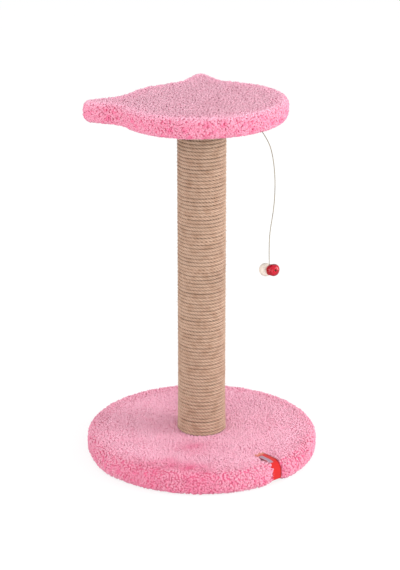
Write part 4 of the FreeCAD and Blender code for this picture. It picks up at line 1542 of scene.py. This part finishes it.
def crownLift(flat):
    # the foam's swell: highest in the middle, nothing at the edge, with a slow unevenness
    h = headSet
    far = np.clip(np.linalg.norm(flat, axis=-1) / h["halfDepth"], 0, 1)
    return h["crown"] * (1 - far ** 2) + h["uneven"] * ripple(flat, h["unevenWaves"], h["seed"])


def platformCover():
    h, depth = headSet, pileSet["backing"]
    spots, ways, _ = headOutline()
    rows = [headRow(spots, ways, h["topEdge"], h["top"] - depth, k) for k in np.linspace(*h["topRows"])]
    for row in rows:
        row[:, 2] += crownLift(row[:, :2])
    topCount = len(rows) * len(spots)
    rows += [headRow(spots, ways, inset, level) for inset, level in platformRim(depth)]
    edge = headRow(spots, ways, h["bottomEdge"], h["low"] + h["hemLevel"])
    hem = ringRow(spots, h["liningRoom"], h["low"] + h["hemLevel"])
    rows += [edge + (hem - edge) * k for k in h["hemRows"]]
    for radius, level in (("liningRoom", "recess"), ("hemInner", "recess"), ("hemInner", "hemTop")):
        rows.append(ringRow(spots, h[radius], h["low"] + h[level]))
    wall, hemTop, roof, fold = h["wall"], h["low"] + h["hemTop"], h["innerTop"], h["topFold"]
    inside = [(wall + h["lowFold"], hemTop), (wall, hemTop + h["lowFold"])]
    inside += [(wall, roof - fold), (wall + fold, roof)]
    rows += [headRow(spots, ways, inset, level) for inset, level in inside]
    rows.append(headRow(spots, ways, wall + fold, roof, h["roofShare"]))
    poles = np.array([[0, 0, rows[0][:, 2].mean()], [0, 0, roof]])
    piece = stackedPiece("platformCover", rows, poles, flip=True)
    # painted grey sheen and shade on the platform's top
    setFloat(piece, "paintedSheen", np.arange(len(piece.data.vertices)) < topCount)
    dress(piece, "plush", "platform_cover")


def insideReach(flat, spots):
    # how far places lie inside a closed outline; negative outside
    ahead = np.roll(spots, -1, 0)
    x, y = flat[:, :1], flat[:, 1:]
    crossing = (spots[:, 1] > y) != (ahead[:, 1] > y)
    rise = np.where(ahead[:, 1] == spots[:, 1], tiny, ahead[:, 1] - spots[:, 1])
    left = x < spots[:, 0] + (y - spots[:, 1]) / rise * (ahead[:, 0] - spots[:, 0])
    inside = (crossing & left).sum(1) % 2 == 1
    far = np.hypot(x - spots[:, 0], y - spots[:, 1]).min(1)
    return np.where(inside, far, -far)


def between(values, place):
    # values at a place between columns of a closed outline
    first = np.floor(place).astype(int) % len(values)
    part = (place - np.floor(place))[:, None]
    return values[first] * (1 - part) + values[(first + 1) % len(values)] * part


def platformPileTop():
    # rows of staggered places over the flat top, all a little out of line
    h, size = headSet, pileSet["tuft"]
    rng = np.random.default_rng(h["seed"])
    spots = headOutline()[0]
    step = math.sqrt(lockArea(size) * pileSet["crowd"] * 2 / math.sqrt(3))
    reach = int(np.abs(spots).max() / step) + 2
    row, col = (part.ravel() for part in np.mgrid[-reach:reach + 1, -reach:reach + 1])
    flat = np.stack([(col + 0.5 * (row % 2)) * step, row * step * math.sqrt(3) / 2], -1)
    flat += rng.normal(0, pileSet["jitterShare"] * h["topJitter"] * step, flat.shape)
    edge = insideReach(flat, spots)
    keep = edge > h["topEdge"] - h["topLap"]
    flat, edge = flat[keep], edge[keep]
    count = len(flat)
    places = np.column_stack([flat, h["top"] - pileSet["depth"] + crownLift(flat)])
    normals, ahead = (np.tile(way, (count, 1)) for way in ((0.0, 0.0, 1.0), (1.0, 0.0, 0.0)))
    leans = napLeans(places, normals, ahead, h["seed"] + 1)
    # the locks' painted sheen is fullest on the flat top, away from its edge
    growLocks("platformPileTop", places, normals, leans, np.zeros(count), paintedSheenShare(normals, edge), size,
              h["seed"] + 2, pale=h["pale"])
    return count


def platformPileRim():
    # golden steps along the outline, and evenly down the rim's section
    h, size = headSet, headSet["rimTuft"]
    rng = np.random.default_rng(h["seed"] + 3)
    spots, ways, around = headOutline()
    section = platformRim(pileSet["depth"])
    passed = passedLengths(np.hypot(*np.diff(section, axis=0).T))
    count = int(around * passed[-1] / lockArea(size) / h["rimCrowd"])
    share = (np.arange(count) + 0.5) / count * passed[-1]
    ahead = unit(np.gradient(section, axis=0))
    inset, level, dIn, dUp = (np.interp(share, passed, part) for part in (*section.T, *ahead.T))
    jitter = pileSet["jitterShare"] * math.sqrt(lockArea(size)) * h["columns"] / around
    place = (np.arange(count) * (goldenTurn / (2 * math.pi)) % 1) * h["columns"]
    place = (place + rng.normal(0, jitter, count)) % h["columns"]
    spot, way = between(spots, place), unit(between(ways, place))
    places = np.column_stack([spot - way * inset[:, None], level])
    normals = unit(np.column_stack([way * -dUp[:, None], -dIn]))
    down = unit(np.column_stack([way * -dIn[:, None], dUp]))
    leans = napLeans(places, normals, down, h["seed"] + 4)
    under = np.clip(-normals[:, 2], 0, 1)
    # painted shade in the rim's clumps
    naps = clumpShadeShare(places, normals, h["seed"])
    reach, wider = h["earTuft"]
    side, rise = (places[:, :2] - h["middle"]).T
    ear = np.exp(-((np.abs(side) - h["earX"]) ** 2 + (rise - h["earY"]) ** 2) / reach ** 2)
    size = size * pileSet["rimWide"] * (1 + wider * ear)
    # these locks take painted sheen where the rim turns onto the top
    growLocks("platformPileRim", places, normals, leans, naps, paintedSheenShare(normals, inset), size, h["seed"] + 5,
              1 - h["underShort"] * under, h["pale"])
    return count


platformCover()
print("platform pile:", platformPileTop() + platformPileRim(), "locks")


# foam and linings
liningSet = {
    "places": [
        {"name": "baseLining", "node": "base_lining", "radius": 146.0, "hole": 15.0, "low": 1.0, "high": 2.4,
         "staples": 16, "stapleRadius": 137.0},
        {"name": "platformLining", "node": "platform_lining", "radius": 106.0, "hole": 4.2, "low": 517.1,
         "high": 518.5, "staples": 12, "stapleRadius": 97.0},
    ],
    "thickness": 0.8,
    "columns": 192,
    "rows": 40,
    "holeGap": 0.15,
    "edgeGap": 0.3,
    "pucker": 0.22,
    "puckerReach": 9,
}

foamSet = {
    "gap": 0.6,             # between the foam and the cover
    "edge": 3.0,
    "edgeMiddle": 0.9,      # the rounded edge's middle, from both its faces
    "topShares": (0.9, 0.7, 0.4, 0.05),
}


def makeLining(place):
    # round cloth: z(r, a) = level + puckers that die away from the ring of staples
    s = liningSet
    radii = np.linspace(place["hole"] + s["holeGap"], place["radius"] - s["edgeGap"], s["rows"])
    level = (place["low"] + place["high"]) / 2
    angle = roundAngles(s["columns"])
    near = np.exp(-((radii - place["stapleRadius"]) / s["puckerReach"]) ** 2)[:, None]
    pucker = s["pucker"] * near * np.cos(place["staples"] * (angle + math.pi / 2))
    flat = [radii[:, None] * np.cos(angle), radii[:, None] * np.sin(angle)]
    upper, lower = (np.stack([*flat, level + side * s["thickness"] / 2 + pucker], -1) for side in (1, -1))
    loop = np.concatenate([upper, lower[::-1]])
    faces = gridFaces(len(loop), s["columns"], True, True, flip=True)
    piece = dress(addPiece(place["name"], loop.reshape(-1, 3), [faces]), "lining", place["node"])


def makeFoam():
    # foam slab with the head's outline and a rounded top edge
    f = foamSet
    low, high = (corner[2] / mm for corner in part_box("platform_pad"))
    spots, ways, _ = headOutline()
    inset, edge, middle = headSet["wall"] + f["gap"], f["edge"], f["edgeMiddle"]
    section = [(0.0, low), (0.0, high - edge), (middle, high - middle), (edge, high)]
    rows = [headRow(spots, ways, inset + edge, low, f["topShares"][-1])]
    rows += [headRow(spots, ways, inset + more, level) for more, level in section]
    rows += [headRow(spots, ways, inset + edge, high, share) for share in f["topShares"]]
    piece = stackedPiece("platformFoam", rows, np.array([[0, 0, low], [0, 0, high]]))
    dress(piece, "foam", "platform_pad")


for liningPlace in liningSet["places"]:
    makeLining(liningPlace)
makeFoam()
print("linings and foam: laid")


# carried-over nodes
nodeFinish = {part["node"]: part["material_slot"] for part in frame["record"]["subparts"]}


def finishNodes():
    done = 0
    for name, node in cadNodes.items():
        if not node.hide_render:
            node.data.materials.clear()
            node.data.materials.append(finishes[nodeFinish[name]])
            done += 1
    print("carried-over nodes:", done)


finishNodes()


# stage: pale floor and soft studio light
stageSet = {
    "floorReach": 9.0,
    "floorGlow": 0.8,       # floor as the camera and reflections see it, before light falls on it
    "floorColour": (0.22, 0.22, 0.22, 1.0),
    "bounceColour": (0.82, 0.82, 0.82, 1.0),
    "world": 0.88,
    "worldColour": (1.0, 1.0, 1.0, 1.0),
    "lamps": [              # name, bearing from the camera's side, height angle, distance, size, watts
        ("keyLamp", 80.0, 17.0, 2.6, 1.6, 50.0),
        ("fillLamp", -55.0, 13.0, 3.0, 2.4, 35.0),
        ("frontLamp", 12.0, 8.0, 3.0, 2.0, 22.0),
    ],
}


def seenShare(nodes):
    # rays from the camera, reflections and glass, which see a white ground
    path = nodes.put("LightPath")
    share = nodes.calc("MAXIMUM", path["Is Camera Ray"], path["Is Glossy Ray"])
    return nodes.calc("MAXIMUM", share, path["Is Transmission Ray"])


def makeFloor():
    reach = stageSet["floorReach"] / mm
    points = np.array([(-reach, -reach, 0), (reach, -reach, 0), (reach, reach, 0), (-reach, reach, 0)], float)
    floor = addPiece("floor", points, [np.array([[0, 1, 2, 3]])], smooth=False)
    material = bpy.data.materials.new("paleFloor")
    material.use_nodes = True
    nodes = Nodes(material.node_tree)
    nodes.tree.nodes.remove(nodes.tree.nodes["Principled BSDF"])
    shadowed = nodes.put("BsdfDiffuse", {"Color": stageSet["floorColour"]})[0]
    glow = nodes.put("Emission", {"Strength": stageSet["floorGlow"]})[0]
    both = nodes.put("AddShader", {0: shadowed, 1: glow})[0]
    plain = nodes.put("BsdfDiffuse", {"Color": stageSet["bounceColour"]})[0]
    mixed = nodes.put("MixShader", {0: seenShare(nodes), 1: plain, 2: both})[0]
    nodes.feed(nodes.tree.nodes["Material Output"], "Surface", mixed)
    floor.data.materials.append(material)


def makeLight():
    scene = bpy.context.scene
    world = bpy.data.worlds.new("studio")
    world.use_nodes = True
    nodes = Nodes(world.node_tree)
    background = nodes.tree.nodes["Background"]
    level = nodes.put("Mix", {0: seenShare(nodes), 2: stageSet["world"], 3: 1.0})[0]
    nodes.feed(background, "Color", stageSet["worldColour"])
    nodes.feed(background, "Strength", level)
    scene.world = world
    middle = (np.array(cadLow) + np.array(cadHigh)) / 2
    bearing = math.atan2(*(np.array(cameraSet["place"][:2])[::-1]))
    for name, turn, height, far, size, watts in stageSet["lamps"]:
        data = bpy.data.lights.new(name, "AREA")
        data.shape = "DISK"
        data.size = size
        data.energy = watts
        angle, lift = bearing + math.radians(turn), math.radians(height)
        way = np.array([math.cos(angle) * math.cos(lift), math.sin(angle) * math.cos(lift), math.sin(lift)])
        setLooking(bpy.data.objects.new(name, data), middle + way * far, -way)
    scene.view_settings.view_transform = "Standard"


makeFloor()
makeLight()
print("stage: floor and lamps")
